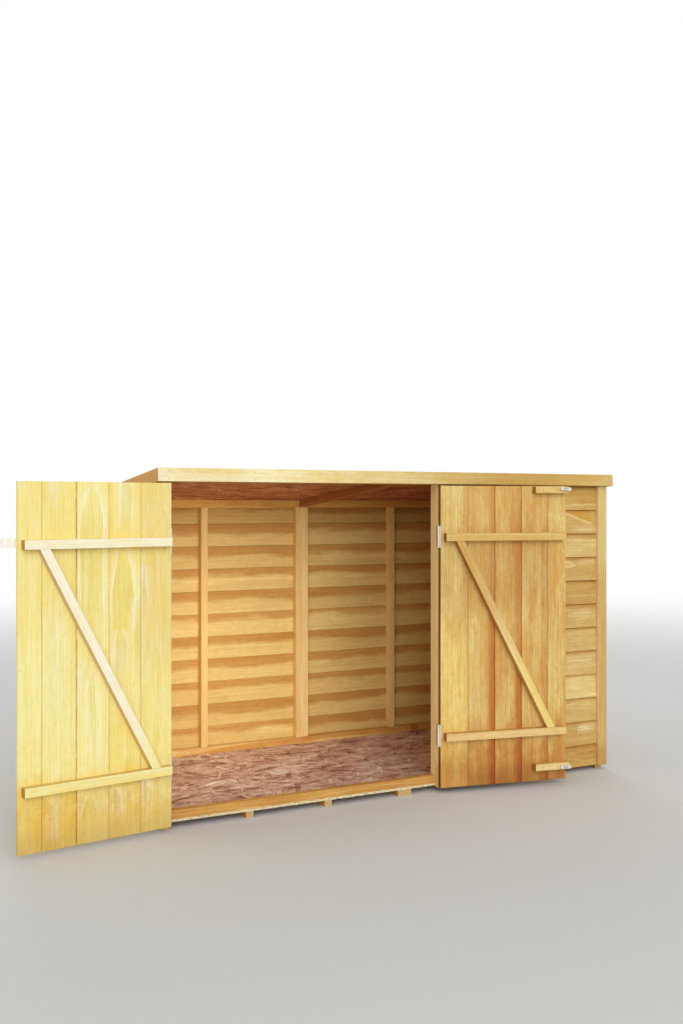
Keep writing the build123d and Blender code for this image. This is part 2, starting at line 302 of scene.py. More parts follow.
fill_light = bpy.data.lights.new("doorway_lamp", "AREA")
fill_light.shape = "RECTANGLE"
fill_light.size, fill_light.size_y = DOORWAY_LAMP["width"], DOORWAY_LAMP["height"]
fill_light.energy = DOORWAY_LAMP["watts"]
fill_light.color = (1.0, 0.97, 0.92)
fill_light.spread = math.radians(120)
doorway_lamp = link(bpy.data.objects.new("doorway_lamp", fill_light))
doorway_lamp.location = DOORWAY_LAMP["place"]
doorway_lamp.rotation_euler = (math.pi / 2, 0, 0)
doorway_lamp.visible_camera = False
doorway_lamp.visible_glossy = False


def pale_floor():
    """A flat floor that keeps shadows near the shelter and turns white in the distance."""
    mesh = bpy.data.meshes.new("floor")
    corners = [(x * FLOOR_REACH, y * FLOOR_REACH, 0) for x, y in ((-1, -1), (1, -1), (1, 1), (-1, 1))]
    mesh.from_pydata(corners, [], [(0, 1, 2, 3)])
    material, shader = new_finish("pale_floor", 0.9, specular=0.0)
    camera_ray = add("ShaderNodeLightPath")["Is Camera Ray"]
    fill(shader.inputs["Base Color"], mixed(camera_ray, (205, 203, 198), (222, 223, 223)))
    far = rising(vectors("LENGTH", object_place()), 3.0, 11.0)
    glow = add("ShaderNodeEmission", {"Color": (1, 1, 1, 1), "Strength": 1.0})
    lit = Value(shader.outputs[0])
    surface = add("ShaderNodeMixShader", {0: far * seen_rays(), 1: lit, 2: glow[0]})
    fill(at_work[0].nodes["Material Output"].inputs["Surface"], surface[0])
    mesh.materials.append(material)
    link(bpy.data.objects.new("floor", mesh))


pale_floor()
print("lit by", ", ".join(SUNS), "and a world of strength", WORLD_LIGHT)

# %% [markdown]
# Wood is the whole object, so its finish gets the most care. A plank is a slice through a log, and what one
# sees on it are the log's growth rings, cut lengthwise: tall arches where the cut runs near the heart, and
# close straight lines where it runs across the rings. A picture of grain can't follow a hundred different
# planks, so each plank carries its own coordinates in an attribute named grain: metres along, across and
# through it. The material works out how far a point lies from the heart of an imagined log, and colours it
# by ring. Every plank also carries its number, which moves the heart, so that no two planks are alike, and
# its end faces are marked, since end grain soaks up more of the dip and turns darker. The side faces of the
# doors' battens are marked with part of that darkness, as painted shade.


# %% Wood
def scaled_colour(colour, share, warmth=1.0):
    """A colour made lighter or darker by a factor; a warmth above 1 takes more of the blue and less of the red."""
    channels = {"Red": share ** (1.0 / warmth), "Green": share, "Blue": share ** warmth}
    tint = add("ShaderNodeCombineColor", channels)["Color"]
    return mixed(1.0, colour, tint, blend_type="MULTIPLY")


def attribute(name, output="Fac"):
    """A value that the mesh carries under a name."""
    return add("ShaderNodeAttribute", attribute_name=name)[output]


def on_board(number):
    """1 on the board that carries a number."""
    return close_to(attribute("board"), number, 0.1)


def chance_of_board(output):
    """Chance numbers that belong to the board's number."""
    return add("ShaderNodeTexWhiteNoise", {"W": attribute("board")}, noise_dimensions="1D")[output]


def plank_space():
    """Place in the plank, the same place moved by chance, and chance numbers for the plank."""
    grain = attribute("grain", "Vector")
    chance = chance_of_board("Color")
    moved = vectors("MULTIPLY_ADD", chance, (40.0, 40.0, 40.0), grain)
    return grain, moved, chance


def knot_field(moved, spacing, share):
    """Distance to the nearest knot, and 1 where that knot is there at all."""
    stretched = vectors("MULTIPLY", moved, (spacing * 0.36, spacing, 0.0))
    cells = add("ShaderNodeTexVoronoi", {"Vector": stretched, "Scale": 1.0, "Randomness": 0.9})
    picked = add("ShaderNodeSeparateColor", {"Color": cells["Color"]})["Green"]
    return cells["Distance"], picked < share


def ring_radius(grain, moved, chance, pull):
    """Distance in metres from the heart of the log, which wanders along the plank and bends round knots."""
    heart = vectors("MULTIPLY_ADD", chance, (0.0, 0.1, 0.06), (0.0, -0.05, 0.012))
    drift = noise(moved, (1.2, 0.5, 0.5), detail=1.0, output="Color")
    drift = vectors("MULTIPLY_ADD", drift, (0.0, 0.1, 0.1), (0.0, -0.05, -0.05))
    flat = vectors("MULTIPLY", grain, (0.0, 1.0, 1.0))
    radius = vectors("LENGTH", vectors("ADD", vectors("ADD", flat, heart), drift))
    radius = noise(moved, (3.5, 22.0, 22.0), detail=3.0) * 0.022 + radius
    radius = noise(moved, (22.0, 90.0, 90.0)) * 0.0018 + radius
    return pull * 0.03 + radius


def ridge(phase, start, top):
    """A line that rises softly from the start of a phase to its top, and falls sharply to its end."""
    return rising(phase, start, top) * rising(phase, 1.0, top)


def wood(name, ground, deep, cream, ring=0.007, lines=0.35, figure=0.034, outline=0.4, sappy=0.2, mottle=0.5,
         flecks=0.5, knots=0.1, rough=1.0, warmth=1.8, end_colour=None, end_tint=(215, 185, 145), extra=None):
    """A softwood finish: ground colour, deeper stain, and cream for sapwood and the outlines of the figure."""
    material, shader = new_finish(name, roughness=0.6)
    grain, moved, chance = plank_space()
    channels = add("ShaderNodeSeparateColor", {"Color": chance})

    away, there = knot_field(moved, spacing=7.0, share=knots)
    pull = rising(away, 0.42, 0.0) * there
    radius = ring_radius(grain, moved, chance, pull)
    late = ridge(maths("FRACT", radius / ring), 0.1, 0.9)
    bold = radius / figure
    contour = ridge(maths("FRACT", bold), 0.8, 0.975)
    cell = add("ShaderNodeCombineXYZ", {"X": maths("FLOOR", bold), "Y": attribute("board")})["Vector"]
    picked = add("ShaderNodeTexWhiteNoise", {"Vector": cell}, noise_dimensions="2D")["Value"]

    cloudy = noise(moved, (3.0, 11.0, 11.0), detail=5.0, roughness=0.62)
    cloud = rising(channels["Green"] * 0.16 + cloudy, 0.42, 0.74)
    colour = mixed(cloud * mottle, ground, deep)
    broken = rising(noise(moved, (5.0, 40.0, 40.0), detail=3.0), 0.3, 0.65)
    colour = mixed(late * broken * lines, colour, deep)
    colour = mixed((picked < sappy) * (broken * 0.45 + 0.4), colour, cream)
    faded = rising(noise(moved, (2.5, 12.0, 12.0)), 0.3, 0.5) * 0.8 + 0.2
    colour = mixed(contour * faded * outline, colour, cream)
    if extra:
        colour = extra(colour, grain)

    fibre = noise(moved, (6.0, 460.0, 460.0), detail=3.0, roughness=0.6)
    streaks = noise(moved, (1.8, 110.0, 110.0), detail=3.0)
    hairs = noise(moved, (9.0, 240.0, 240.0), detail=2.0, roughness=0.6)
    blotch = noise(moved, (30.0, 55.0, 55.0), detail=7.0, roughness=0.78)
    core = rising(away, 0.085, 0.04) * there
    specks = rising(noise(moved, (45.0, 190.0, 190.0), detail=1.0), 0.7, 0.78)
    tone = (picked - 0.5) * 0.05 + (channels["Red"] * 0.1 + 0.95)
    for value, share in ((fibre, 0.12), (hairs, 0.3 * rough), (streaks, 0.3 * rough), (blotch, 0.42 * rough)):
        tone = (value - 0.5) * share + tone
    tone = core * -0.45 + (specks * (-0.3 * flecks) + tone)
    colour = scaled_colour(colour, tone, warmth)
    # End grain soaks up the dip and turns darker; the side faces of the doors' battens take part of this colour as
    # painted shade.
    ends_soaked_sides_shaded = mixed(1.0, colour, end_tint, blend_type="MULTIPLY")
    if end_colour:
        ends_soaked_sides_shaded = mixed(0.75, colour, end_colour)
    relief = late * 0.4 + (hairs + fibre * 0.5)
    paint(shader, mixed(attribute("end"), colour, ends_soaked_sides_shaded), relief, distance=0.0008)
    return material


# %% [markdown]
# The shelter's timbers come from different packs, so there are several mixes of the same finish. The door at
# the left is nearly cream, with the outlines of its figure paler still; the one at the right is golden, with
# orange streaks. The fascia goes from cream to gold along its length, painted light that is brightest at the left.
# The wall boards are darker along the upper edge of their inner face, where the dip dries last.
#
# The left door's boards were sawn close to the heart, so they show tall flames with pale outlines. These are
# drawn one by one. Each row below is a board's number, the height of the tip and its place across in metres
# from the board's middle, half the width, the length over which the legs spread, the reach, which is negative
# where the tip points down, and how much of the inside is pale. The front wall's boards have a few too.


# %% Wood mixes
NUMBER_STEP = 1.37
LEFT_DOOR, RIGHT_DOOR, FRONT_WALL = 520, 560, 400
LEFT_BRACE, RIGHT_BRACE = 307, 337
DOOR_FLAMES = (
    (0, 0.33, 0.05, 0.012, 0.1, 0.2, 0.1), (0, -0.4, 0.045, 0.008, 0.05, 0.2, 0.2),
    (1, 0.68, -0.002, 0.022, 0.08, 0.3, 0.3), (1, 0.405, 0.008, 0.043, 0.17, 0.42, 0.0),
    (1, 0.1, 0.02, 0.023, 0.05, 0.22, 0.2), (1, 0.22, -0.06, 0.026, 0.02, 0.36, 0.0),
    (1, -0.45, 0.03, 0.013, 0.03, 0.18, 0.35), (1, -0.448, -0.011, 0.008, 0.03, 0.07, 0.5),
    (2, 0.61, 0.006, 0.043, 0.14, 0.68, 0.0), (2, -0.119, 0.031, 0.02, 0.08, -0.16, 0.6),
    (2, -0.02, -0.002, 0.01, 0.06, 0.42, 0.1), (2, -0.46, 0.012, 0.026, 0.06, 0.1, 0.0),
    (3, 0.536, 0.021, 0.012, 0.07, -0.14, 0.85), (3, 0.29, 0.01, 0.024, 0.2, 0.62, 0.65),
    (3, -0.33, 0.022, 0.007, 0.05, 0.08, 0.7), (3, -0.592, 0.02, 0.007, 0.03, -0.2, 0.75),
)
WALL_FLAMES = (
    (10, 0.43, -0.052, 0.006, 0.02, 0.2, 0.6), (9, 0.41, 0.03, 0.012, 0.02, 0.22, 0.4),
    (8, 0.4, 0.036, 0.007, 0.03, 0.12, 0.4), (6, 0.25, 0.0, 0.006, 0.05, -0.2, 0.5),
    (4, 0.24, -0.004, 0.008, 0.04, -0.22, 0.5), (3, 0.33, 0.015, 0.022, 0.03, 0.1, 0.6),
    (3, 0.43, -0.05, 0.006, 0.01, 0.25, 0.6), (1, 0.305, 0.012, 0.006, 0.03, -0.14, 0.7),
)


def tinted(share, colour, tint):
    """The colour, stained by a tint where the share is 1."""
    return mixed(share, colour, mixed(1.0, colour, tint, blend_type="MULTIPLY"))


def gold_to_the_right(colour, grain):
    """Turns the colour golden towards the right of the shelter, by the place on the object: painted light, brightest
    at the left.
    """
    east = split(object_place())["X"]
    # Painted light: the left end stays palest, and the rest is tinted towards gold to the right.
    golden = (rising(east, 0.7, 1.0) * -0.3 + 1.0) * rising(east, -0.75, 0.75)
    colour = tinted(rising(east, -0.8, -0.6), colour, (255, 252, 234))
    return tinted(golden, colour, (208, 178, 122))


def stained_joint(colour, grain, tint, everywhere):
    """Stains door boards along their long edges, where the dip gathers; the marked ones on one side only."""
    across = split(grain)["Y"]
    both = rising(abs(across), 0.058, 0.0606) * everywhere
    torn = rising(noise(grain, (24.0, 60.0, 0.0), detail=3.0), 0.3, 0.6) * 0.7 + 0.5
    marked = rising(across, 0.0545, 0.06) * (attribute("mark") * torn)
    return tinted(largest(both, marked), colour, tint)


def low_stain(colour, grain, tint):
    """Stains a door board towards the ground."""
    height = split(grain)["X"]
    wave = noise(grain, (14.0, 16.0, 0.0), detail=6.0, roughness=0.7) - 0.5
    height = wave * 0.45 + height
    return tinted(rising(height, -0.3, -0.6), colour, tint)


def flame(place, number, plan):
    """One flame of figure on one board: its outline and its inside, both from 0 to 1."""
    _, tip, middle, half_width, spread_over, reach, _ = plan
    way = math.copysign(1.0, reach)
    below = place["X"] * -way + way * tip
    opened = maths("MINIMUM", largest(below / spread_over, 0.0), 1.0)
    sideways = abs(place["Y"] - middle)
    gap = maths("SQRT", opened) * -half_width + sideways
    here = on_board(number) * rising(below, -0.001, 0.003) * rising(below, abs(reach), abs(reach) * 0.4)
    halo = largest(rising(gap, 0.009, 0.001), rising(gap, 0.035, 0.0) * 0.5)
    return halo * rising(gap, -0.0022, 0.0) * here, rising(gap, 0.0008, -0.0012) * opened * here


def with_flames(colour, grain, first, plans, cream):
    """Draw flames of figure in cream on the boards from the first number on, wavering a little."""
    apart = vectors("MULTIPLY_ADD", attribute("board", "Vector"), (1.7, 0.0, 0.0), grain)
    slow = vectors("SUBTRACT", noise(apart, (2.6, 9.0, 0.0), output="Color"), (0.5, 0.5, 0.5))
    quick = vectors("SUBTRACT", noise(apart, (11.0, 35.0, 0.0), detail=3.0, output="Color"), (0.5, 0.5, 0.5))
    place = vectors("MULTIPLY_ADD", slow, (0.06, 0.03, 0.0), grain)
    place = split(vectors("MULTIPLY_ADD", quick, (0.015, 0.01, 0.0), place))
    outlines, insides, shaded = 0.0, 0.0, 0.0
    for plan in plans:
        outline, inside = flame(place, first + NUMBER_STEP * plan[0], plan)
        outlines = largest(outlines, outline)
        insides = largest(insides, inside * plan[-1])
        shaded = largest(shaded, inside)
    colour = tinted(shaded * 0.8, colour, (242, 239, 212))
    share = largest(outlines * 0.75, insides)
    faint = rising(noise(apart, (7.0, 30.0, 0.0), detail=3.0), 0.36, 0.6) * 0.65 + 0.35
    return mixed(share * faint, colour, cream)


def bleached(colour, grain):
    """The left door: tall flames, faint joints, one of them orange, and a golden foot."""
    colour = with_flames(colour, grain, LEFT_DOOR, DOOR_FLAMES, (255, 250, 222))
    height = split(grain)["X"]
    outwards = rising(attribute("board"), LEFT_DOOR + NUMBER_STEP, LEFT_DOOR + NUMBER_STEP * 3)
    pale = outwards * rising(height, -0.48, -0.34) * (rising(height, 0.02, 0.22) * -0.35 + 0.6)
    colour = mixed(pale, colour, (255, 252, 184))
    colour = tinted(on_board(LEFT_DOOR) * rising(height, -0.2, 0.1), colour, (248, 243, 248))
    colour = low_stain(colour, grain, (238, 218, 188))
    colour = tinted(rising(height, -0.53, -0.62), colour, (238, 240, 255))
    ripple = rising(noise(grain, (150.0, 45.0, 0.0), detail=3.0), 0.48, 0.76)
    patchy = rising(noise(grain, (9.0, 12.0, 0.0), detail=2.0), 0.45, 0.6)
    ripple = ripple * patchy * rising(height, -0.4, -0.52)
    colour = tinted(ripple * 0.5, colour, (240, 206, 150))
    return stained_joint(colour, grain, (216, 172, 124), everywhere=0.4)


def streaky(colour, grain):
    """The right door: orange streaks beside two joints, stronger towards the ground, and a darker foot."""
    parts = split(grain)
    wave = noise(grain, (2.2, 30.0, 0.0), detail=3.0) - 0.5
    place = wave * 0.03 + parts["Y"]
    low = rising(parts["X"], 0.3, -0.25) * 0.75 + 0.25
    colour = mixed(rising(place, 0.018, 0.046) * low * attribute("mark"), colour, (198, 120, 44))
    colour = tinted(rising(place, 0.02, 0.06) * 0.45, colour, (226, 194, 156))
    colour = low_stain(colour, grain, (230, 200, 166))
    first = on_board(RIGHT_DOOR)
    lower = rising(parts["X"], 0.1, -0.1) * rising(parts["X"], -0.56, -0.42) * (first * 0.35)
    colour = mixed(lower, colour, (255, 226, 122))
    band = rising(parts["X"], 0.04, 0.2) * rising(parts["X"], 0.5, 0.4)
    band = band * (attribute("board") < RIGHT_DOOR + NUMBER_STEP * 3.5)
    colour = tinted(band, colour, (244, 240, 238))
    foot = rising(parts["X"], -0.52, -0.6) * (1.0 - first)
    colour = tinted(foot, colour, (228, 222, 226))
    return stained_joint(colour, grain, (216, 184, 146), everywhere=0.35)


def inside_and_pale(colour, grain):
    """Wall boards: cleaner inside, darker along the upper edge there, and bleached where a board is marked;
    outside, painted shade under each lap, and inside, painted shade near the top, under the roof.
    """
    parts = split(grain)
    mark = attribute("mark")
    colour = mixed(largest(mark * 0.8, 0.0), colour, (240, 214, 148))
    colour = tinted(largest(mark * -1.0, 0.0), colour, (226, 204, 166))
    outer = parts["Z"] < -0.002
    # Painted shade: the top of each board's outer face, where the board above laps over it, is darkened, with a
    # darker line along the very top.
    colour = tinted(rising(parts["Y"], 0.026, 0.047) * outer, colour, (226, 198, 156))
    colour = tinted(rising(parts["Y"], 0.0415, 0.047) * outer, colour, (178, 132, 84))
    inner = parts["Z"] > 0.002
    colour = mixed(inner * 0.58, colour, (248, 224, 148))
    place = vectors("MULTIPLY_ADD", attribute("board", "Vector"), (3.1, 0.0, 0.0), grain)
    wave = noise(place, (4.0, 14.0, 0.0), detail=4.0, roughness=0.6) - 0.5
    luck = chance_of_board("Value")
    height = luck * 0.03 + (wave * 0.075 + parts["Y"])
    colour = tinted(inner * rising(height, 0.02, 0.046), colour, (224, 196, 166))
    # Painted shade high on the inner faces, under the roof.
    height = split(object_place())["Z"]
    colour = tinted(inner * rising(height, 1.02, 1.18), colour, (222, 212, 200))
    return tinted(inner * (luck * 0.7), colour, (236, 222, 202))


def slanting(colour, grain, number, start, end, deeper, cream):
    """A cream streak that slants across one board between two places, with a deeper colour above it."""
    wave = noise(grain, (26.0, 30.0, 0.0), detail=4.0, roughness=0.6) - 0.5
    parts = split(grain)
    slope = (end[1] - start[1]) / (end[0] - start[0])
    line = parts["X"] * slope + (start[1] - slope * start[0])
    above = wave * 0.02 + (parts["Y"] - line)
    here = on_board(number) * rising(wave * 0.06 + parts["X"], end[0] + 0.01, end[0] - 0.006)
    colour = tinted(here * rising(above, 0.0, 0.003), colour, deeper)
    streak = rising(above, -0.011, -0.001) * rising(above, 0.002, 0.0)
    return mixed(streak * here * 0.7, colour, cream)


def wedged(colour, grain):
    """The front wall's boards: as the others, with pale wedges and streaks at their right."""
    colour = with_flames(colour, grain, FRONT_WALL, WALL_FLAMES, (242, 220, 166))
    colour = inside_and_pale(colour, grain)
    top_board, second = FRONT_WALL + NUMBER_STEP * 11, FRONT_WALL + NUMBER_STEP * 10
    colour = slanting(colour, grain, top_board, (0.24, -0.036), (0.43, -0.03), (250, 244, 222), (228, 200, 134))
    return slanting(colour, grain, second, (0.24, 0.036), (0.382, -0.011), (250, 236, 186), (240, 220, 156))


def trim_painted_light_and_shade(colour, grain):
    """Trims: painted light on their left-facing sides at the doorway and the corner, paler near the corner trim's
    top, darker towards the bottom, and painted shadow in the narrow gap behind the open right door.
    """
    parts = split(object_place())
    # Painted light: the left-facing side faces of the right door strip and the corner trim are made paler.
    for side in (0.147, 1.005):
        colour = mixed(close_to(parts["X"], side, 0.001), colour, (250, 226, 160))
    # The corner trim is paler near its top.
    paler_top = rising(parts["Z"], 0.85, 0.98) * (parts["X"] > 0.9)
    colour = mixed(paler_top * 0.35, colour, (242, 234, 166))
    colour = tinted(rising(parts["Z"], 0.15, 0.07), colour, (236, 222, 212))
    # Painted shadow in the narrow gap behind the open right door.
    gap = rising(parts["Y"], -0.518, -0.52) * close_to(parts["X"], 0.152, 0.007)
    return tinted(gap, colour, (160, 122, 76))


def front_posts_painted_light(colour, grain):
    """Inner timbers: paler at the front of the shelter, as painted light."""
    depth = split(object_place())["Y"]
    # Painted light on the front of the inner timbers.
    return mixed(rising(depth, -0.44, -0.46) * 0.5, colour, (255, 232, 168))


def yellow_foot(colour, grain):
    """The left door's battens turn yellow towards the ground, and the brace's side faces get painted shade."""
    height = split(object_place())["Z"]
    brace = on_board(LEFT_BRACE) * (attribute("end") < 0.1)
    colour = mixed(brace * 0.5, colour, (255, 252, 236))
    # Painted shade on the brace's side faces.
    sides = abs(split(grain)["Z"])
    colour = tinted(brace * rising(sides, 0.015, 0.0158), colour, (240, 226, 196))
    return tinted(rising(height, 0.5, 0.25), colour, (255, 250, 206))


def pale_foot(colour, grain):
    """The right door's battens turn paler towards the ground."""
    height = split(object_place())["Z"]
    brace = on_board(RIGHT_BRACE)
    colour = tinted(brace * rising(height, 0.6, 0.8), colour, (232, 214, 188))
    lower = brace * rising(height, 0.72, 0.38)
    colour = mixed(lower * 0.35, colour, (250, 220, 104))
    return mixed(rising(height, 0.26, 0.24) * 0.5, colour, (246, 220, 160))


framing = wood("framing_wood", (218, 168, 88), (196, 134, 62), (236, 204, 130), lines=0.4, sappy=0.15, mottle=0.8,
               rough=1.8, end_colour=(200, 176, 126))
inner_frame = wood("inner_frame_wood", (242, 212, 140), (224, 178, 104), (248, 226, 168), lines=0.4, sappy=0.12,
                   extra=front_posts_painted_light)
# The rafter is darker and redder than the other framing, as painted shade under the roof.
rafter_wood_painted_shade = wood("rafter_wood_painted_shade", (176, 112, 64), (142, 82, 42), (200, 146, 92), lines=0.4)
trim_wood = wood("trim_wood", (216, 184, 114), (204, 156, 84), (232, 210, 150), sappy=0.15, outline=0.25, rough=1.3,
                 extra=trim_painted_light_and_shade)
amber_wood = wood("bargeboard_wood", (232, 180, 100), (206, 144, 72), (236, 200, 138), sappy=0.1)
WALL_MIX = {"lines": 0.6, "figure": 0.030, "outline": 0.3, "sappy": 0.13, "mottle": 0.8, "knots": 0.15, "rough": 1.6}
WALL_COLOURS = (210, 176, 100), (190, 140, 66), (234, 208, 142)
wall_wood = wood("wall_wood", *WALL_COLOURS, **WALL_MIX, extra=inside_and_pale)
front_wall_wood = wood("front_wall_wood", *WALL_COLOURS, **WALL_MIX, extra=wedged)
pale_boards = wood("left_door_wood", (251, 238, 156), (250, 226, 122), (255, 250, 222), ring=0.009, lines=0.25,
                   figure=0.038, outline=0.22, sappy=0.06, mottle=0.9, flecks=0.6, knots=0.08, rough=0.8, warmth=3.0,
                   extra=bleached)
golden_boards = wood("right_door_wood", (228, 205, 130), (212, 160, 80), (238, 216, 154), ring=0.008, lines=0.6,
                     figure=0.03, outline=0.15, sappy=0.1, mottle=0.9, flecks=1.2, knots=0.04, rough=1.8,
                     extra=streaky)
pale_battens = wood("left_batten_wood", (255, 247, 206), (253, 236, 168), (255, 252, 230), lines=0.2, mottle=0.7,
                    flecks=0.3, knots=0.02, rough=0.7, warmth=3.0, end_tint=(196, 148, 88), extra=yellow_foot)
golden_battens = wood("right_batten_wood", (226, 194, 114), (212, 168, 88), (242, 220, 160), lines=0.3, mottle=0.7,
                      knots=0.02, rough=1.3, end_tint=(200, 156, 114), extra=pale_foot)
fascia_wood = wood("fascia_wood", (252, 248, 222), (240, 214, 134), (255, 249, 214), lines=0.25, mottle=0.9,
                   knots=0.05, rough=1.2, warmth=2.4, extra=gold_to_the_right)
print("twelve mixes of wood")

# %% [markdown]
# Oriented strand board is made of thin shavings, pressed flat in every direction. Each shaving is a long
# patch of one colour that lies over or under its neighbours. Five sheets of stretched cells, each turned its
# own way, are laid over each other here, and at each point the cell with the highest chance number wins.


# %% Strand board
SHAVING_ANGLES = (0.10, 0.55, 1.30, 2.05, 2.75)


def blended(share, first, second):
    """First number, turning into the second as the share goes from 0 to 1."""
    return add("ShaderNodeMix", {0: share, 2: first, 3: second}, data_type="FLOAT")[0]


def strand_board(name, dark, middle, light, edge_colour):
    """A pressed board of shavings, read in metres over its face; its sawn edges show thin layers."""
    material, shader = new_finish(name, roughness=0.55, specular=0.25)
    coordinates = add("ShaderNodeTexCoord")
    warp = noise(coordinates["Object"], (30.0, 30.0, 30.0), detail=2.0, output="Color")
    place = vectors("MULTIPLY_ADD", warp, (0.008, 0.008, 0.0), coordinates["Object"])
    top, tint, rim = 0.0, 0.5, 1.0
    for number, angle in enumerate(SHAVING_ANGLES):
        turned = add("ShaderNodeVectorRotate", {"Vector": place, "Angle": angle}, rotation_type="Z_AXIS")
        size, shift = (9.0, 48.0, 0.0), (number * 7.3, number * 3.1, 0.0)
        layer = vectors("MULTIPLY_ADD", turned["Vector"], size, shift)
        cells = add("ShaderNodeTexVoronoi", {"Vector": layer, "Scale": 1.0})
        edges = add("ShaderNodeTexVoronoi", {"Vector": layer, "Scale": 1.0}, feature="DISTANCE_TO_EDGE")
        parts = add("ShaderNodeSeparateColor", {"Color": cells["Color"]})
        wins = parts["Red"] > top
        streak = noise(layer, (1.2, 4.0, 1.0), detail=3.0, roughness=0.6) - 0.5
        shaving = streak * 1.5 + parts["Green"]
        new_values = (top, parts["Red"]), (tint, shaving), (rim, edges["Distance"])
        top, tint, rim = (blended(wins, old, new) for old, new in new_values)
    haze = noise(coordinates["Object"], (7.0, 16.0, 7.0), detail=6.0, roughness=0.72)
    tint = (haze - 0.5) * 2.4 + (tint * 0.6 + 0.2)
    colour = mixed(rising(tint, 0.0, 0.55), dark, middle)
    colour = mixed(rising(tint, 0.5, 1.05), colour, light)
    seam = rising(haze * -0.05 + rim, -0.02, 0.03)
    colour = scaled_colour(colour, seam * 0.26 + 0.74)
    sawn = abs(split(coordinates["Normal"])["Z"]) < 0.5
    crumbs = noise(place, (60.0, 60.0, 500.0), detail=3.0)
    cut = scaled_colour(edge_colour, crumbs * 2.0 - 0.1)
    paint(shader, mixed(sawn, colour, cut), top + rising(rim, 0.0, 0.12), distance=0.0006)
    return material


floor_strands = strand_board("floor_strand_board", (140, 86, 70), (222, 182, 162), (252, 238, 226), (236, 220, 176))
# The roof boards are a redder board than the floor's, darkened further as painted shade on the roof's underside.
roof_strands_painted_shade = strand_board("roof_strand_board", (122, 58, 32), (180, 108, 70), (222, 160, 116), (214, 180, 130))
print("strand boards of", len(SHAVING_ANGLES), "sheets of shavings")

# %% [markdown]
# The roofing felt carries crushed slate, so it is a rough, nearly black green with pale grains in it. The
# metal is zinc plated: bright, a little brushed and clouded by the bath. The catches are moulded plastic
# in two colours, smooth with a fine matt skin.


# %% Felt, zinc and plastic
def slate_felt():
    """Bitumen felt with mineral grains."""
    material, shader = new_finish("slate_felt", roughness=0.9, specular=0.2)
    place = object_place()
    grains = add("ShaderNodeTexVoronoi", {"Vector": place, "Scale": 520.0})
    speck = add("ShaderNodeSeparateColor", {"Color": grains["Color"]})["Red"]
    colour = mixed(rising(speck, 0.3, 1.0), (44, 50, 50), (112, 120, 114))
    weather = noise(place, (2.2, 5.0, 2.2), detail=4.0)
    colour = mixed(rising(weather, 0.45, 0.75), colour, (88, 92, 86))
    paint(shader, colour, grains["Distance"], distance=0.0008)
    return material


def plated_steel():
    """Zinc plated steel with a clouded, very bright skin, and painted shade where the hinges' leaves lie back in the
    gaps by the doors.
    """
    material, shader = new_finish("zinc_plate", roughness=0.45, specular=0.4)
    place = object_place()
    cloud = noise(place, (90.0, 90.0, 40.0), detail=4.0)
    colour = mixed(rising(cloud, 0.35, 0.7), (250, 246, 238), (255, 254, 250))
    parts = split(place)
    # Painted shade on all of it that lies behind the front of the door strips, such as the hinges' frame leaves.
    colour = tinted(parts["Y"] > -0.5205, colour, (196, 172, 136))
    # Painted shade in narrow bands beside the two hinge pins, where the leaves lie in the gaps.
    for leaf in (-1.0265, 0.1505):
        colour = tinted(close_to(parts["X"], leaf, 0.0022), colour, (176, 160, 132))
    fill(shader.inputs["Roughness"], cloud * 0.25 + 0.26)
    paint(shader, colour, noise(place, (200.0, 200.0, 1800.0), detail=2.0), distance=0.00008)
    return material


def dulled_steel():
    """Nails and screws that the dip has stained and the hammer has dulled."""
    material, shader = new_finish("dulled_steel", roughness=0.5, specular=0.4, metallic=0.3)
    stain = noise(object_place(), (150.0, 150.0, 150.0), detail=3.0)
    paint(shader, mixed(rising(stain, 0.35, 0.65), (168, 134, 84), (202, 172, 120)), stain, distance=0.0001)
    return material


def moulded(name, low, high):
    """Matt moulded plastic with a faint flow of colour."""
    material, shader = new_finish(name, roughness=0.42, specular=0.45)
    place = object_place()
    flow = noise(place, (60.0, 60.0, 25.0), detail=3.0)
    skin = noise(place, (2500.0, 2500.0, 2500.0), detail=1.0)
    paint(shader, mixed(flow, low, high), skin, distance=0.00005)
    return material


felt = slate_felt()
zinc = plated_steel()
steel = dulled_steel()
cream_plastic = moulded("cream_plastic", (212, 202, 182), (226, 217, 198))
grey_plastic = moulded("grey_plastic", (186, 174, 164), (204, 193, 184))
print("felt, zinc and two plastics")

# %% [markdown]
# The sawn and planed timbers, from bearers to ledges, are right as they come, apart from their knife-sharp
# edges and their lack of grain. Each is copied, its loose triangles are merged into whole faces, its edges
# are eased by a millimetre as a saw and sandpaper leave them, and each length of timber gets its own grain:
# along its longest edge. The new piece then stands for the old one.

# %% Timbers
EASED_EDGE = 0.0013
SAME_POINT = 1e-5
FLAT_ANGLE = math.radians(1.0)
END_SHARE = 0.7
# Share of the darker end colour that the side faces of the doors' battens get, as painted shade.
SIDE_PAINTED_SHADE = 0.6
pieces_made = []


def islands(bm):
    """Separate lengths of timber in a mesh, as lists of faces, in order of their place."""
    left, found = set(bm.faces), []
    while left:
        start = left.pop()
        island, front = [start], [start]
        while front:
            for edge in front.pop().edges:
                for face in edge.link_faces:
                    if face in left:
                        left.discard(face)
                        island.append(face)
                        front.append(face)
        found.append(island)
    return sorted(found, key=lambda faces: tuple(round(v, 4) for v in middle_of(points_of(faces))))


def points_of(faces):
    """The points of some faces, each once."""
    return list({vertex for face in faces for vertex in face.verts})


def box_of(places):
    """Lowest and highest corner of the box around some places."""
    return [[pick(place[i] for place in places) for i in range(3)] for pick in (min, max)]


def middle_of(points):
    """Middle of the box around some points."""
    return Vector([(low + high) / 2 for low, high in zip(*box_of([point.co for point in points]))])


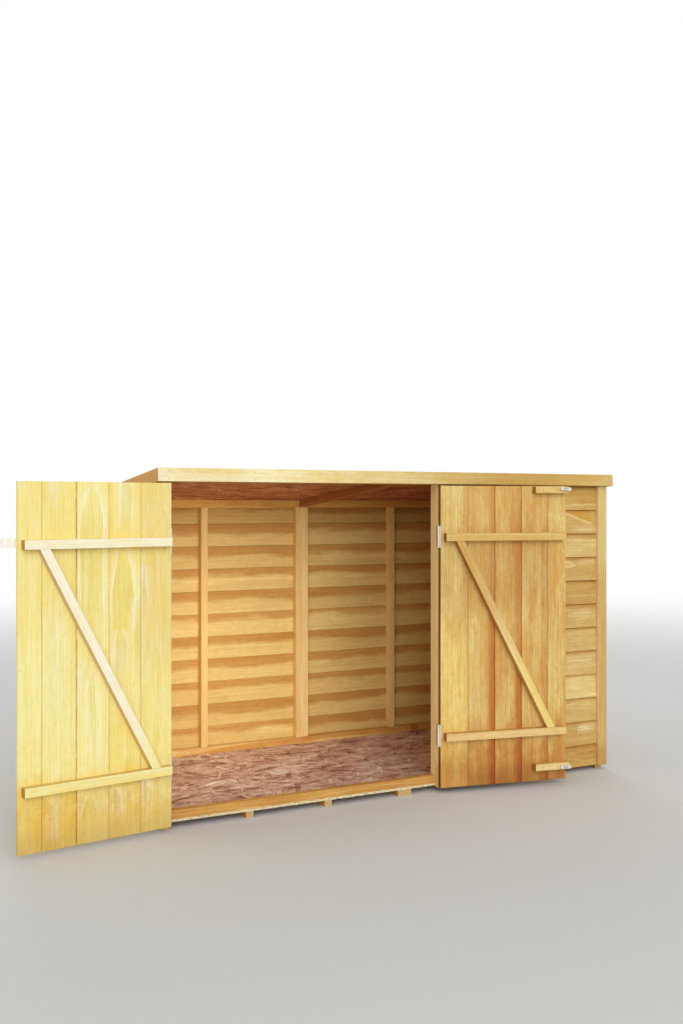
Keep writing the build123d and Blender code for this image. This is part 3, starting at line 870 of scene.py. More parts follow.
def axes_of(faces):
    """Directions along, across and through a length of timber, from its longest edges."""
    edges = {edge for face in faces for edge in face.edges}
    ways = sorted((e.verts[1].co - e.verts[0].co for e in edges), key=lambda way: -way.length)
    along = ways[0].normalized()
    across = next(way.normalized() for way in ways if abs(way.normalized().dot(along)) < 0.2)
    across = (across - along * across.dot(along)).normalized()
    return [way if max(way, key=abs) > 0 else -way for way in (along, across, along.cross(across))]


def grain_layers(bm):
    """The attributes that the wood finish reads."""
    floats = bm.verts.layers.float
    grain = bm.verts.layers.float_vector.new("grain")
    return grain, floats.new("board"), floats.new("mark"), bm.faces.layers.float.new("end")


def mark_grain(faces, axes, number, layers, front=None):
    """Write a timber's own coordinates, number and end faces; the sides of a front face get painted shade."""
    grain, board, mark, end = layers
    points = points_of(faces)
    middle = middle_of(points)
    for point in points:
        away = point.co - middle
        point[grain] = [away.dot(axis) for axis in axes]
        point[board] = number
        point[mark] = 0.0
    for face in faces:
        face[end] = 1.0 if abs(face.normal.dot(axes[0])) > END_SHARE else 0.0
        # The side faces of the doors' battens are marked for painted shade.
        if front and face[end] < 1.0 and abs(face.normal.dot(front)) < END_SHARE:
            face[end] = SIDE_PAINTED_SHADE


def settle(piece, body, material=None):
    """Give a finished piece its body, a place in the list of pieces made and, if one is given, its finish."""
    if material:
        piece.data.materials.clear()
        piece.data.materials.append(material)
    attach(piece, body)
    pieces_made.append(piece)
    return piece


def whole_faces(node):
    """A CAD node's mesh with its triangles merged into whole faces."""
    bm = bmesh.new()
    bm.from_mesh(nodes[node].data)
    bmesh.ops.remove_doubles(bm, verts=bm.verts, dist=SAME_POINT)
    bmesh.ops.dissolve_limit(bm, angle_limit=FLAT_ANGLE, verts=bm.verts, edges=bm.edges)
    return bm


def ease(bm, width=EASED_EDGE):
    """Round the sharp edges off by a small bevel."""
    sharp = [edge for edge in bm.edges if len(edge.link_faces) == 2 and edge.calc_face_angle() > 0.4]
    bmesh.ops.bevel(bm, geom=sharp, offset=width, segments=2, profile=0.6, affect="EDGES", clamp_overlap=True)


def object_from(bm, name):
    """An object with the mesh that was built, not yet in the scene."""
    mesh = bpy.data.meshes.new(name)
    bm.to_mesh(mesh)
    bm.free()
    return bpy.data.objects.new(name, mesh)


def dress_timbers(node, material, body, number, front=None):
    """Stand for a CAD node by eased timbers with grain. Number starts the numbers of its timbers."""
    bm = whole_faces(node)
    sharp_axes = [axes_of(faces) for faces in islands(bm)]
    ease(bm)
    layers = grain_layers(bm)
    for place, (faces, axes) in enumerate(zip(islands(bm), sharp_axes)):
        mark_grain(faces, axes, number + place * NUMBER_STEP, layers, front)
    piece = link(object_from(bm, node + "_dressed"))
    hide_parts(node)
    return settle(piece, body, material)


joints = {joint["name"]: joint for joint in frame["joints"]}


def door_place(side):
    """The plane of an open leaf: from its pin, with x along the leaf."""
    joint = joints[f"{side}_door_hinge"]
    opened = math.radians(joint["range_deg"][1])
    turn = -opened if side == "left" else opened - math.pi
    return Matrix.Translation((*joint["pos_m"][:2], 0)) @ Matrix.Rotation(turn, 4, "Z")


def in_leaf(side, way):
    """A direction of an open leaf's plane, as one of the shelter."""
    return door_place(side).to_3x3() @ Vector(way)


OUTER_FRAME = ("floor_bearers_left", "floor_bearers_right", "front_sill_rail", "front_top_rail",
               "back_wall_rails_left", "back_wall_rails_right")
INNER_FRAME = ("front_posts", "left_wall_rails", "left_wall_studs", "right_wall_rails", "right_wall_studs",
               "back_wall_studs_left", "back_wall_studs_right")
SHELTER_TRIMS = ("left_door_strip", "right_door_strip", "front_corner_trim", "back_trims", "back_fascia")

for place, node in enumerate(OUTER_FRAME + INNER_FRAME):
    dress_timbers(node, framing if node in OUTER_FRAME else inner_frame, "shelter", 10 + place * 9.1)
dress_timbers("centre_rafter", rafter_wood_painted_shade, "shelter", 180)
for place, node in enumerate(SHELTER_TRIMS):
    dress_timbers(node, trim_wood, "shelter", 200 + place * 5.3)
dress_timbers("bargeboards", amber_wood, "shelter", 240)
dress_timbers("front_fascia", fascia_wood, "shelter", 250)
for side, battens, number in (("left", pale_battens, 300), ("right", golden_battens, 330)):
    out = in_leaf(side, (0, 1, 0))
    dress_timbers(f"{side}_door_ledges", battens, f"{side}_door", number, out)
    dress_timbers(f"{side}_door_brace", battens, f"{side}_door", number + 7, out)
dress_timbers("right_door_stop_blocks", golden_battens, "right_door", 360, out)

NAIL_ROOM = 0.0008
bargeboards = next(piece for piece in pieces_made if piece.name == "bargeboards_dressed")
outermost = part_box("bargeboards")[1].x
for point in bargeboards.data.vertices:
    if abs(point.co.x) > outermost - 2 * EASED_EDGE:
        point.co.x -= math.copysign(NAIL_ROOM, point.co.x)
print(len(pieces_made), "sets of timbers dressed")

# %% [markdown]
# Planks repeat, in the walls as in the doors, so they are laid by Geometry Nodes. One plank is modelled with
# its eased edges and grain. A tree of nodes then sets copies of it on a row of points, leans each one as a
# lapped board leans on the board below it, adds a hair of tilt, as hand-nailed boards have, and writes each
# copy's number, which the finish reads. The copies are made real at the end, since an exported model keeps
# no instances.


# %% Plank rows
def new_tree(name, inputs):
    """Start a Geometry Nodes tree with inputs given by name, and hand out their values with it."""
    tree = work_in(bpy.data.node_groups.new(name, "GeometryNodeTree"))
    for label, kind in inputs.items():
        tree.interface.new_socket(label, in_out="INPUT", socket_type="NodeSocket" + kind)
    tree.interface.new_socket("Geometry", in_out="OUTPUT", socket_type="NodeSocketGeometry")
    return tree, add("NodeGroupInput")


def original(thing):
    """The mesh of an object as it was modelled."""
    return add("GeometryNodeObjectInfo", {"Object": thing}, transform_space="ORIGINAL")["Geometry"]


def hand_out(copies, finish):
    """End a tree: its copies are made real, take a finish and go out."""
    real = add("GeometryNodeRealizeInstances", {"Geometry": copies})["Geometry"]
    done = add("GeometryNodeSetMaterial", {"Geometry": real, "Material": finish})["Geometry"]
    add("NodeGroupOutput", {"Geometry": done})


def row_tree():
    """Copies of a plank at equal steps, each with its own number and a slight tilt."""
    tree, given = new_tree("plank_row", {
        "Plank": "Object", "Count": "Int", "Step": "Vector", "Lean": "Vector", "Tilt": "Vector", "Seed": "Int",
        "First Number": "Float", "Finish": "Material"})
    line = add("GeometryNodeMeshLine", {"Count": given["Count"], "Offset": given["Step"]}, mode="OFFSET")["Mesh"]
    least = add("ShaderNodeVectorMath", {"Vector": given["Tilt"], "Scale": -1.0}, operation="SCALE")["Vector"]
    limits = {0: least, 1: given["Tilt"], "Seed": given["Seed"]}
    tilt = add("FunctionNodeRandomValue", limits, data_type="FLOAT_VECTOR")[0]
    turn = vectors("ADD", given["Lean"], tilt)
    copies = {"Points": line, "Instance": original(given["Plank"]), "Rotation": turn}
    copies = add("GeometryNodeInstanceOnPoints", copies)["Instances"]
    number = maths("MULTIPLY_ADD", add("GeometryNodeInputIndex")["Index"], NUMBER_STEP, given["First Number"])
    numbered = {"Geometry": copies, "Name": "board", "Value": number}
    numbered = add("GeometryNodeStoreNamedAttribute", numbered, data_type="FLOAT", domain="INSTANCE")["Geometry"]
    hand_out(numbered, given["Finish"])
    return tree


def grown(tree, name, values, start=None):
    """Run a tree with its inputs given by name, and keep the result as a plain mesh on an object."""
    carrier = link(bpy.data.objects.new(name, start or bpy.data.meshes.new(name)))
    modifier = carrier.modifiers.new("nodes", "NODES")
    modifier.node_group = tree
    for item in tree.interface.items_tree:
        if item.in_out == "INPUT" and item.name in values:
            modifier[item.identifier] = values[item.name]
    evaluated = carrier.evaluated_get(bpy.context.evaluated_depsgraph_get())
    mesh = bpy.data.meshes.new_from_object(evaluated)
    mesh.materials.clear()
    mesh.materials.append(values["Finish"])
    mesh.polygons.foreach_set("material_index", [0] * len(mesh.polygons))
    carrier.modifiers.clear()
    carrier.data = mesh
    return carrier


def plank(name, low, high, axes, edge=EASED_EDGE):
    """A plank between two corners, with eased edges and its grain along the first axis."""
    bm = bmesh.new()
    bmesh.ops.create_cube(bm, size=1.0)
    for point in bm.verts:
        point.co = [low[i] + (point.co[i] + 0.5) * (high[i] - low[i]) for i in range(3)]
    ease(bm, edge)
    bmesh.ops.recalc_face_normals(bm, faces=bm.faces)
    layers = grain_layers(bm)
    mark_grain(list(bm.faces), axes, 0.0, layers)
    bm.verts.layers.float.remove(layers[1])
    return object_from(bm, name)


def row(name, pattern, count, step, finish, number, lean=(0.0, 0.0, 0.0), tilt=(0.0, 0.0, 0.0)):
    """Lay a row of planks from one pattern plank."""
    values = {"Plank": pattern, "Count": count, "Step": step, "Lean": lean, "Tilt": tilt,
              "Seed": int(number), "First Number": float(number), "Finish": finish}
    laid = grown(PLANK_ROW, name, values)
    bpy.data.objects.remove(pattern, do_unlink=True)
    return laid


def mark_boards(laid, number, marks):
    """Mark some boards of a row, by their place in it, for the finish to read."""
    values = laid.data.attributes["board"].data
    for value, mark in zip(values, laid.data.attributes["mark"].data):
        mark.value = marks.get(round((value.value - number) / NUMBER_STEP), 0.0)


def trimmed(piece, point, outward):
    """Saw off what lies beyond a plane, and close the cut."""
    bm = bmesh.new()
    bm.from_mesh(piece.data)
    everything = list(bm.verts) + list(bm.edges) + list(bm.faces)
    cut = bmesh.ops.bisect_plane(bm, geom=everything, plane_co=point, plane_no=outward, clear_outer=True)
    edges = [part for part in cut["geom_cut"] if isinstance(part, bmesh.types.BMEdge)]
    bmesh.ops.edgeloop_fill(bm, edges=edges)
    bmesh.ops.recalc_face_normals(bm, faces=bm.faces)
    bm.to_mesh(piece.data)
    bm.free()


PLANK_ROW = row_tree()
print("the plank row has", len(PLANK_ROW.nodes), "nodes")

# %% [markdown]
# A lapped wall keeps rain out because each board covers the top of the one below. Each board is 117 mm high
# and shows 105 mm, leans out by its own thickness at its foot, and is sawn off to the slope under the roof.
# The walls are laid on the floor as if facing the reader, and turned to their side of the shelter. The back
# wall's laps sit a little higher than the others, as one sees from inside.

# %% Lapped walls
BOARD_PITCH = 0.1053
BOARD_COVER = 0.012
BOARD_THICK = 0.0068
FOOT_PROUD = 0.015
TOP_PROUD = 0.0072
WALL_TILT = (0.0012, 0.0, 0.0008)
END_GAP = 0.0005
MIDDLE_TRIM = 0.047
PALE_BOARDS = {
    "front": {1: 0.1, 2: 0.35, 3: 1.0, 4: 0.45, 5: 0.35, 6: 0.1, 8: 0.15, 9: 0.05, 10: 0.25, 11: 0.15},
    "back": {5: 0.3, 9: 0.4}, "left": {4: 0.6}, "right": {2: 0.5, 8: 0.5},
}
WALL_TOP = 1.33
BOARD_EDGE = 0.0009
FIRST_LAP = {"front": 0.117, "left": 0.117, "right": 0.117, "back": 0.143}


def under_roof():
    """A point on the underside of the roof boards, and its direction up and out."""
    mesh = nodes["roof_board_left"].data
    lowest = min(mesh.polygons, key=lambda face: face.normal.z)
    return mesh.vertices[lowest.vertices[0]].co.copy(), -lowest.normal.copy()


def lapped_row(name, start, end, first_lap, foot, number, marks):
    """A lapped wall whose outside faces the reader, between two places along it."""
    height = BOARD_PITCH + BOARD_COVER
    lean = -math.asin((FOOT_PROUD - TOP_PROUD) / height)
    axes = [Vector((1, 0, 0)), Vector((0, 0, 1)), Vector((0, 1, 0))]
    pattern = plank("wall_board", (start + END_GAP, 0, 0), (end - END_GAP, BOARD_THICK, height), axes, BOARD_EDGE)
    count = math.ceil((WALL_TOP - first_lap) / BOARD_PITCH) + 1
    finish = front_wall_wood if number == FRONT_WALL else wall_wood
    wall = row(name, pattern, count, (0, 0, BOARD_PITCH), finish, number, (lean, 0, 0), WALL_TILT)
    mark_boards(wall, number, marks)
    wall.data.transform(Matrix.Translation((0, -FOOT_PROUD, first_lap - BOARD_PITCH)))
    trimmed(wall, (0, 0, foot), (0, 0, -1))
    return wall


def lapped_walls():
    """The four walls; each row is (name, turn, how far out, start, end), measured along the wall."""
    roof_point, roof_way = under_roof()
    boxes = {side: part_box(side + "_cladding") for side in FIRST_LAP}
    front, back = boxes["front"][1].y, boxes["back"][0].y
    left, right = boxes["left"][1].x, boxes["right"][0].x
    half = MIDDLE_TRIM / 2
    plans = [
        ("front", 0, -front, boxes["front"][0].x, boxes["front"][1].x),
        ("right", 90, right, front, back),
        ("back", 180, back, boxes["back"][0].x, -half),
        ("back", 180, back, half, boxes["back"][1].x),
        ("left", 270, -left, front, back),
    ]
    made = {}
    for order, (side, turn, out, start, end) in enumerate(plans):
        wall = lapped_row(f"{side}_wall_boards", start, end, FIRST_LAP[side], boxes[side][0].z,
                          FRONT_WALL + order * 23, PALE_BOARDS[side])
        wall.data.transform(Matrix.Rotation(math.radians(turn), 4, "Z") @ Matrix.Translation((0, -out, 0)))
        trimmed(wall, roof_point, roof_way)
        made.setdefault(side, []).append(wall)
    return made


def joined(parts, name):
    """One object from several with the same finish."""
    bm = bmesh.new()
    for part in parts:
        bm.from_mesh(part.data)
    finishes = list(parts[0].data.materials)
    for part in parts:
        bpy.data.objects.remove(part, do_unlink=True)
    piece = link(object_from(bm, name))
    for material in finishes:
        piece.data.materials.append(material)
    return piece


for side, walls in lapped_walls().items():
    wall = joined(walls, f"{side}_wall_boards")
    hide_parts(f"{side}_cladding")
    settle(wall, "shelter")
    print(side, "wall of", len(walls), "panels,", len(wall.data.polygons), "faces")

# %% [markdown]
# Each door is five boards side by side, held by two ledges and a brace. The boards are laid by the same tree
# of nodes as the walls', upright in the plane of the open leaf, which the hinge gives: its pin, and how far it
# stands open. The last board is sawn narrower at the free edge. Two boards of the right door and one of the
# left carry an orange streak of heartwood along one edge, listed one by one because nothing on the doors
# shows more.

# %% Door boards
DOOR_BOARD = 0.1225
DOOR_START = 0.002
DOOR_END = 0.576
DOOR_OUTER = 0.005
DOOR_INNER = 0.017
DOOR_GAP = 0.0006
STREAKED_BOARDS = {"left": {2: 0.9}, "right": {0: 0.1, 1: 0.9, 2: 0.75, 3: 0.15}}


def door_leaf(side, finish, number):
    """Five upright boards of a leaf, in its own plane."""
    inward = 1 if side == "left" else -1
    depth = sorted((inward * DOOR_OUTER, inward * DOOR_INNER))
    low, high = (corner.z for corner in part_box(f"{side}_door_boards"))
    axes = [Vector((0, 0, 1)), Vector((1, 0, 0)), Vector((0, inward, 0))]
    near_corner = (DOOR_START + DOOR_GAP / 2, depth[0], low)
    far_corner = (DOOR_START + DOOR_BOARD - DOOR_GAP / 2, depth[1], high)
    pattern = plank("door_board", near_corner, far_corner, axes)
    leaf = row(f"{side}_leaf_boards", pattern, 5, (DOOR_BOARD, 0, 0), finish, number)
    trimmed(leaf, (DOOR_END, 0, 0), (1, 0, 0))
    mark_boards(leaf, number, STREAKED_BOARDS[side])
    leaf.data.transform(door_place(side))
    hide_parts(f"{side}_door_boards")
    return settle(leaf, f"{side}_door")


door_leaf("left", pale_boards, LEFT_DOOR)
door_leaf("right", golden_boards, RIGHT_DOOR)
print("two leaves of five boards")

# %% [markdown]
# The floor boards' sawn front edge shows under the sill as a pale ragged line, because shavings break out
# of it. The edge is divided finely and each point drawn back by up to two millimetres. The roof boards are
# seen only from below and keep their shape.

# %% Floor and roof boards
EDGE_STEP = 0.004
EDGE_LOSS = 0.0022


def ragged_floor(side, seed):
    """A floor board whose front edge is broken out a little."""
    chance = random.Random(seed)
    bm = whole_faces(f"floor_board_{side}")
    front = min(point.co.y for point in bm.verts)
    edges = [e for e in bm.edges if all(v.co.y < front + SAME_POINT for v in e.verts)]
    long_edges = [e for e in edges if abs(e.verts[0].co.z - e.verts[1].co.z) < SAME_POINT]
    cuts = int(long_edges[0].calc_length() / EDGE_STEP)
    bmesh.ops.subdivide_edges(bm, edges=long_edges, cuts=cuts, use_grid_fill=True)
    for point in bm.verts:
        if point.co.y < front + SAME_POINT:
            point.co.y += EDGE_LOSS * chance.random() ** 2
    piece = link(object_from(bm, f"floor_{side}_strands"))
    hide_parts(f"floor_board_{side}")
    return settle(piece, "shelter", floor_strands)


def coat(names, material):
    """Put a finish on CAD nodes whose shape is right."""
    for name in names:
        nodes[name].data.materials.clear()
        nodes[name].data.materials.append(material)


ragged_floor("left", 3)
ragged_floor("right", 4)
coat(["roof_board_left", "roof_board_right"], roof_strands_painted_shade)
coat([name for name in nodes if "hinge" in name or "hasp" in name], zinc)
print("floor boards broken out, roof boards and metal coated")

# %% [markdown]
# Felt comes in metre-wide rolls, so a roof of this depth takes two strips along its length, laid from the
# low edge up, and the upper one laps over the lower by eighty millimetres. Their thickness stays within the
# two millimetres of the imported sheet, and the lap's edge wanders a little, as felt cut with a knife does.

# %% Felt strips
LAP_PLACE = 0.52
LAP_COVER = 0.08
LAP_RISE = 0.012
STRIP_STEPS = 90
EDGE_WANDER = 0.003


def roof_plane(node):
    """A slab's own frame on the roof: x along the front, y down the slope, z out of it, with its sizes."""
    mesh = nodes[node].data
    up = max((face.normal for face in mesh.polygons), key=lambda normal: normal.z).copy()
    down = Vector((1, 0, 0)).cross(up)
    down = down if down.z < 0 else -down
    turn = Matrix((Vector((1, 0, 0)), down, up)).transposed()
    return turn, *box_of([turn.inverted() @ vertex.co for vertex in mesh.vertices])


def close_ring(bm, first, second):
    """Faces between two rings of points."""
    count = len(first)
    for i in range(count):
        bm.faces.new((first[i], first[(i + 1) % count], second[(i + 1) % count], second[i]))


def felt_strip(name, sections, low, high, seed, ragged):
    """A strip of felt from its section, as (run, rise) points, with one wandering edge."""
    chance = random.Random(seed)
    bm = bmesh.new()
    rings = []
    for step in range(STRIP_STEPS + 1):
        x = low[0] + (high[0] - low[0]) * step / STRIP_STEPS
        wander = (chance.random() - 0.5) * EDGE_WANDER
        points = [(run + (wander if run in ragged else 0.0), rise) for run, rise in sections]
        rings.append([bm.verts.new((x, run, rise)) for run, rise in points])
    for first, second in zip(rings, rings[1:]):
        close_ring(bm, first, second)
    bm.faces.new(rings[0])
    bm.faces.new(rings[-1])
    bmesh.ops.recalc_face_normals(bm, faces=bm.faces)
    return link(object_from(bm, name))


def lay_felt():
    """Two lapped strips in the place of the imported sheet."""
    turn, low, high = roof_plane("roof_felt")
    half = (high[2] - low[2]) / 2
    under, middle, over = low[2], low[2] + half, high[2]
    lap = low[1] + (high[1] - low[1]) * LAP_PLACE
    end = lap + LAP_COVER
    upper = [(low[1], under), (lap - LAP_RISE, under), (lap, middle), (end, middle), (end, over), (lap, over),
             (lap - LAP_RISE, middle), (low[1], middle)]
    lower = [(lap, under), (high[1], under), (high[1], middle), (lap, middle)]
    strips = (("upper_felt", upper, 5, {end}), ("lower_felt", lower, 6, {lap}))
    strips = [felt_strip(name, sections, low, high, seed, ragged) for name, sections, seed, ragged in strips]
    piece = joined(strips, "felt_strips")
    piece.data.transform(turn.to_4x4())
    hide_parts("roof_felt")
    return settle(piece, "shelter", felt), turn, end


felt_strips, roof_turn, lap_edge = lay_felt()
print("two felt strips, lapped", LAP_COVER, "m")

# %% [markdown]
# The catches are small moulded blocks, round at one end, with a grey magnet across the middle. They sit on the
# faces of the two stop blocks and reach past them. The upper one was screwed on five degrees askew.

# %% Catches
CATCH_INSET = 0.0004
CATCH_TILTS = (0.0, 5.0)
CATCH_HEIGHT_SHARE = 0.78
MAGNET_HALF = 0.0085
MAGNET_PROUD = 0.0012
ROUND_STEPS = 8
HOLE_RADIUS, HOLE_PROUD = 0.0026, 0.0003
INSERT_BACK = 0.004
INSERT_SHARE = 0.36


def bullet(length, height):
    """Outline of a bar about its middle: square towards the door's free edge, round at the other end."""
    radius = height / 2
    points = [(length / 2, -radius), (length / 2, radius)]
    for step in range(ROUND_STEPS + 1):
        angle = math.pi / 2 + math.pi * step / ROUND_STEPS
        points.append((radius - length / 2 + radius * math.cos(angle), radius * math.sin(angle)))
    return points


def solid_from(outline, near, far, eased):
    """A block with an outline in x and z, between two depths, with eased edges."""
    bm = bmesh.new()
    front, back = [[bm.verts.new((x, depth, z)) for x, z in outline] for depth in (near, far)]
    for ends in (front, back):
        bm.faces.new(ends)
    for i in range(len(outline)):
        bm.faces.new((front[i - 1], front[i], back[i], back[i - 1]))
    bmesh.ops.recalc_face_normals(bm, faces=bm.faces)
    rims = [edge for edge in bm.edges if edge.calc_face_angle() > 0.9]
    bmesh.ops.bevel(bm, geom=rims, offset=eased, segments=3, profile=0.5, affect="EDGES", clamp_overlap=True)
    return bm


def catch(low, high, tilt):
    """A catch in the place of a packed block, whose back is at its high depth."""
    middle = [(a + b) / 2 for a, b in zip(low, high)]
    length, height = high[0] - low[0] - 2 * CATCH_INSET, (high[2] - low[2]) * CATCH_HEIGHT_SHARE
    body = solid_from(bullet(length, height), low[1] + MAGNET_PROUD, high[1], 0.0016)
    magnet = [(x * MAGNET_HALF, z * (height * INSERT_SHARE)) for x, z in ((-1, -1), (1, -1), (1, 1), (-1, 1))]
    block = solid_from(magnet, low[1], high[1] - INSERT_BACK, 0.0008)
    holes = []
    for x in (-length * INSERT_SHARE, length * INSERT_SHARE):
        angles = [i * math.pi / 6 for i in range(12)]
        ring = [(x + HOLE_RADIUS * math.cos(a), HOLE_RADIUS * math.sin(a)) for a in angles]
        holes.append(solid_from(ring, low[1] + MAGNET_PROUD - HOLE_PROUD, high[1] - INSERT_BACK, 0.0005))
    whole = bmesh.new()
    for part, material in [(body, 0), (block, 1)] + [(hole, 2) for hole in holes]:
        for face in part.faces:
            face.material_index = material
            face.smooth = False
        add_to(whole, part)
    whole.transform(Matrix.Translation((middle[0], 0, middle[2])) @ Matrix.Rotation(math.radians(tilt), 4, "Y"))
    return whole


def add_to(whole, part):
    """Add one built mesh to another."""
    scrap = bpy.data.meshes.new("scrap")
    part.to_mesh(scrap)
    part.free()
    whole.from_mesh(scrap)
    bpy.data.meshes.remove(scrap)


def catches():
    """Both catches of the right door, in its own plane and then in place."""
    place = door_place("right")
    packed = whole_faces("right_door_catches")
    packed.transform(place.inverted())
    whole = bmesh.new()
    blocks = sorted(islands(packed), key=lambda faces: middle_of(points_of(faces)).z)
    for faces, tilt in zip(blocks, CATCH_TILTS):
        add_to(whole, catch(*box_of([point.co for point in points_of(faces)]), tilt))
    whole.transform(place)
    piece = link(object_from(whole, "door_catches"))
    for material in (cream_plastic, grey_plastic, zinc):
        piece.data.materials.append(material)
    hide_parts("right_door_catches")
    return settle(piece, "right_door")


catches()
print("two catches")

# %% [markdown]
# Nails hold nearly all of it. Each board takes one at each stud, a thumb's width above its foot, and the
# trims take them in a row. So the places come from the studs and laps. From each place a ray is sent at the
# finished piece, and the head is set where it lands, square to that surface. The heads themselves are one
# small model, set on all points by a tree of nodes, a little larger or smaller.

# %% Nail and screw heads
HEAD_SUNK, COUNTERSUNK = 0.0003, 0.0008


def round_head(name, radius, height, sides, slot):
    """A low round head, standing on the ground plane. A screw's head has a cross sunk into its top."""
    bm = bmesh.new()
    rings = ((radius, 0.0), (radius, height * 0.45), (radius * 0.72, height))
    angles = [2 * math.pi * i / sides for i in range(sides)]
    rows = [[bm.verts.new((reach * math.cos(a), reach * math.sin(a), z)) for a in angles] for reach, z in rings]
    for first, second in zip(rows, rows[1:]):
        close_ring(bm, first, second)
    bm.faces.new(rows[0][::-1])
    if slot:
        wide, deep = radius * 0.16, radius * 0.56
        cross = [(wide, wide), (wide, deep), (-wide, deep), (-wide, wide), (-deep, wide), (-deep, -wide),
                 (-wide, -wide), (-wide, -deep), (wide, -deep), (wide, -wide), (deep, -wide), (deep, wide)]
        rim = [bm.verts.new((x, y, height)) for x, y in cross]
        sunk = [bm.verts.new((x * 0.8, y * 0.8, height * 0.2)) for x, y in cross]
        edges = [bm.edges.new((rim[i], rim[(i + 1) % len(rim)])) for i in range(len(rim))]
        edges += [edge for edge in bm.edges if all(vertex in rows[2] for vertex in edge.verts)]
        bmesh.ops.triangle_fill(bm, edges=edges, use_beauty=True, use_dissolve=False)
        close_ring(bm, rim, sunk)
        bm.faces.new(sunk)
    else:
        bm.faces.new(rows[2])
    bmesh.ops.recalc_face_normals(bm, faces=bm.faces)
    return object_from(bm, name)


def heads_tree():
    """A head on every point, turned to face the way that the point gives, each of a slightly different size."""
    tree, given = new_tree("heads_on_points", {
        "Places": "Geometry", "Head": "Object", "Smallest": "Float", "Largest": "Float", "Seed": "Int",
        "Finish": "Material"})
    facing = add("GeometryNodeInputNamedAttribute", {"Name": "facing"}, data_type="FLOAT_VECTOR")["Attribute"]
    turn = add("FunctionNodeAlignRotationToVector", {"Vector": facing}, axis="Z")["Rotation"]
    limits = {2: given["Smallest"], 3: given["Largest"], "Seed": given["Seed"]}
    size = add("FunctionNodeRandomValue", limits, data_type="FLOAT")[1]
    copies = {"Points": given["Places"], "Instance": original(given["Head"]), "Rotation": turn, "Scale": size}
    hand_out(add("GeometryNodeInstanceOnPoints", copies)["Instances"], given["Finish"])
    return tree


def surface_of(piece):
    """A piece's surface, ready for rays."""
    mesh = piece.data
    return BVHTree.FromPolygons([vertex.co for vertex in mesh.vertices], [face.vertices for face in mesh.polygons])


def landed(surfaces, starts, way, sunk=HEAD_SUNK, reach=0.3):
    """Where rays from the starts land on the surfaces, as (place, facing) pairs."""
    found, way = [], Vector(way).normalized()
    for start in starts:
        for surface in surfaces:
            place, normal, _, _ = surface.ray_cast(Vector(start), way, reach)
            if place is not None:
                normal = normal if normal.dot(way) < 0 else -normal
                found.append((place - normal * sunk, normal))
                break
    return found


def heads(name, found, head, body, finish, seed):
    """One piece with a head at each of the places found."""
    mesh = bpy.data.meshes.new(name)
    mesh.from_pydata([place for place, _ in found], [], [])
    facing = mesh.attributes.new("facing", "FLOAT_VECTOR", "POINT")
    for value, (_, normal) in zip(facing.data, found):
        value.vector = normal
    values = {"Head": head, "Smallest": 0.92, "Largest": 1.08, "Seed": seed, "Finish": finish}
    piece = grown(HEADS_ON_POINTS, name, values, mesh)
    print(name, len(found), "heads")
    return settle(piece, body)


HEADS_ON_POINTS = heads_tree()
nail_head = round_head("nail_head", 0.0021, 0.0009, 10, slot=False)
clout_head = round_head("clout_head", 0.0045, 0.0008, 12, slot=False)
screw_head = round_head("screw_head", 0.0030, 0.0010, 12, slot=True)

# %% [markdown]
# The walls are nailed at each stud. The trims, fascias and bargeboards have a nail every thirty centimetres or
# so, and the fascias have them in pairs. The floor is nailed along its bearers, and the doors' boards from outside
# into their ledges. The felt is held by clout nails with broad heads along its lap.

# %% Fastenings
FOOT_TO_NAIL = 0.024
LOWEST_FOOT = 0.021
TRIM_NAIL_STEP = 0.29
FAR = 0.12
HALF_WIDTH, HALF_DEPTH = 1.042, 0.4925
FRONT_STUDS = (0.195, 0.5945, 0.99)
BACK_STUDS = (-0.99, -0.505, -0.04, 0.04, 0.505, 0.99)
SIDE_STUDS = (-0.476, 0.0, 0.476)
FRONT_TRIMS = (-1.0375, 0.163, 1.0285)
BACK_TRIMS = (-1.0285, 0.0, 1.0285)
FASCIA_MIDDLES = {"front": 1.303, "back": 1.195}
FASCIA_PAIR = 0.014
ROOF_FALL = 0.1015
BEARER_STEP, BEARER_HALF = 0.3366, 0.016
LEDGE_MIDDLES = (0.2365, 1.0597)
BOARD_NAILS = (0.028, 0.092)
NAIL_STAGGER = 0.006
EDGE_ROOM = 0.018
LAP_NAIL_IN, CLOUT_STEP = 0.012, 0.075
BLOCK_SCREWS_X, BLOCK_SCREWS_Z = (0.455, 0.520), (0.086, 1.256)
shown = {piece.name: piece for piece in pieces_made}


def spread(first, last, step):
    """Places from the first to the last, at about a step."""
    count = max(1, round((last - first) / step))
    return [first + (last - first) * i / count for i in range(count + 1)]


def board_heights(side):
    """Heights of the nails in a lapped wall, one to a board."""
    low = FIRST_LAP[side] - BOARD_PITCH
    return [max(low + BOARD_PITCH * i, LOWEST_FOOT) + FOOT_TO_NAIL for i in range(12)]


def nailed(names, starts, way):
    """Nails in finished pieces, given by name."""
    return landed([surface_of(shown[name]) for name in names], starts, way)


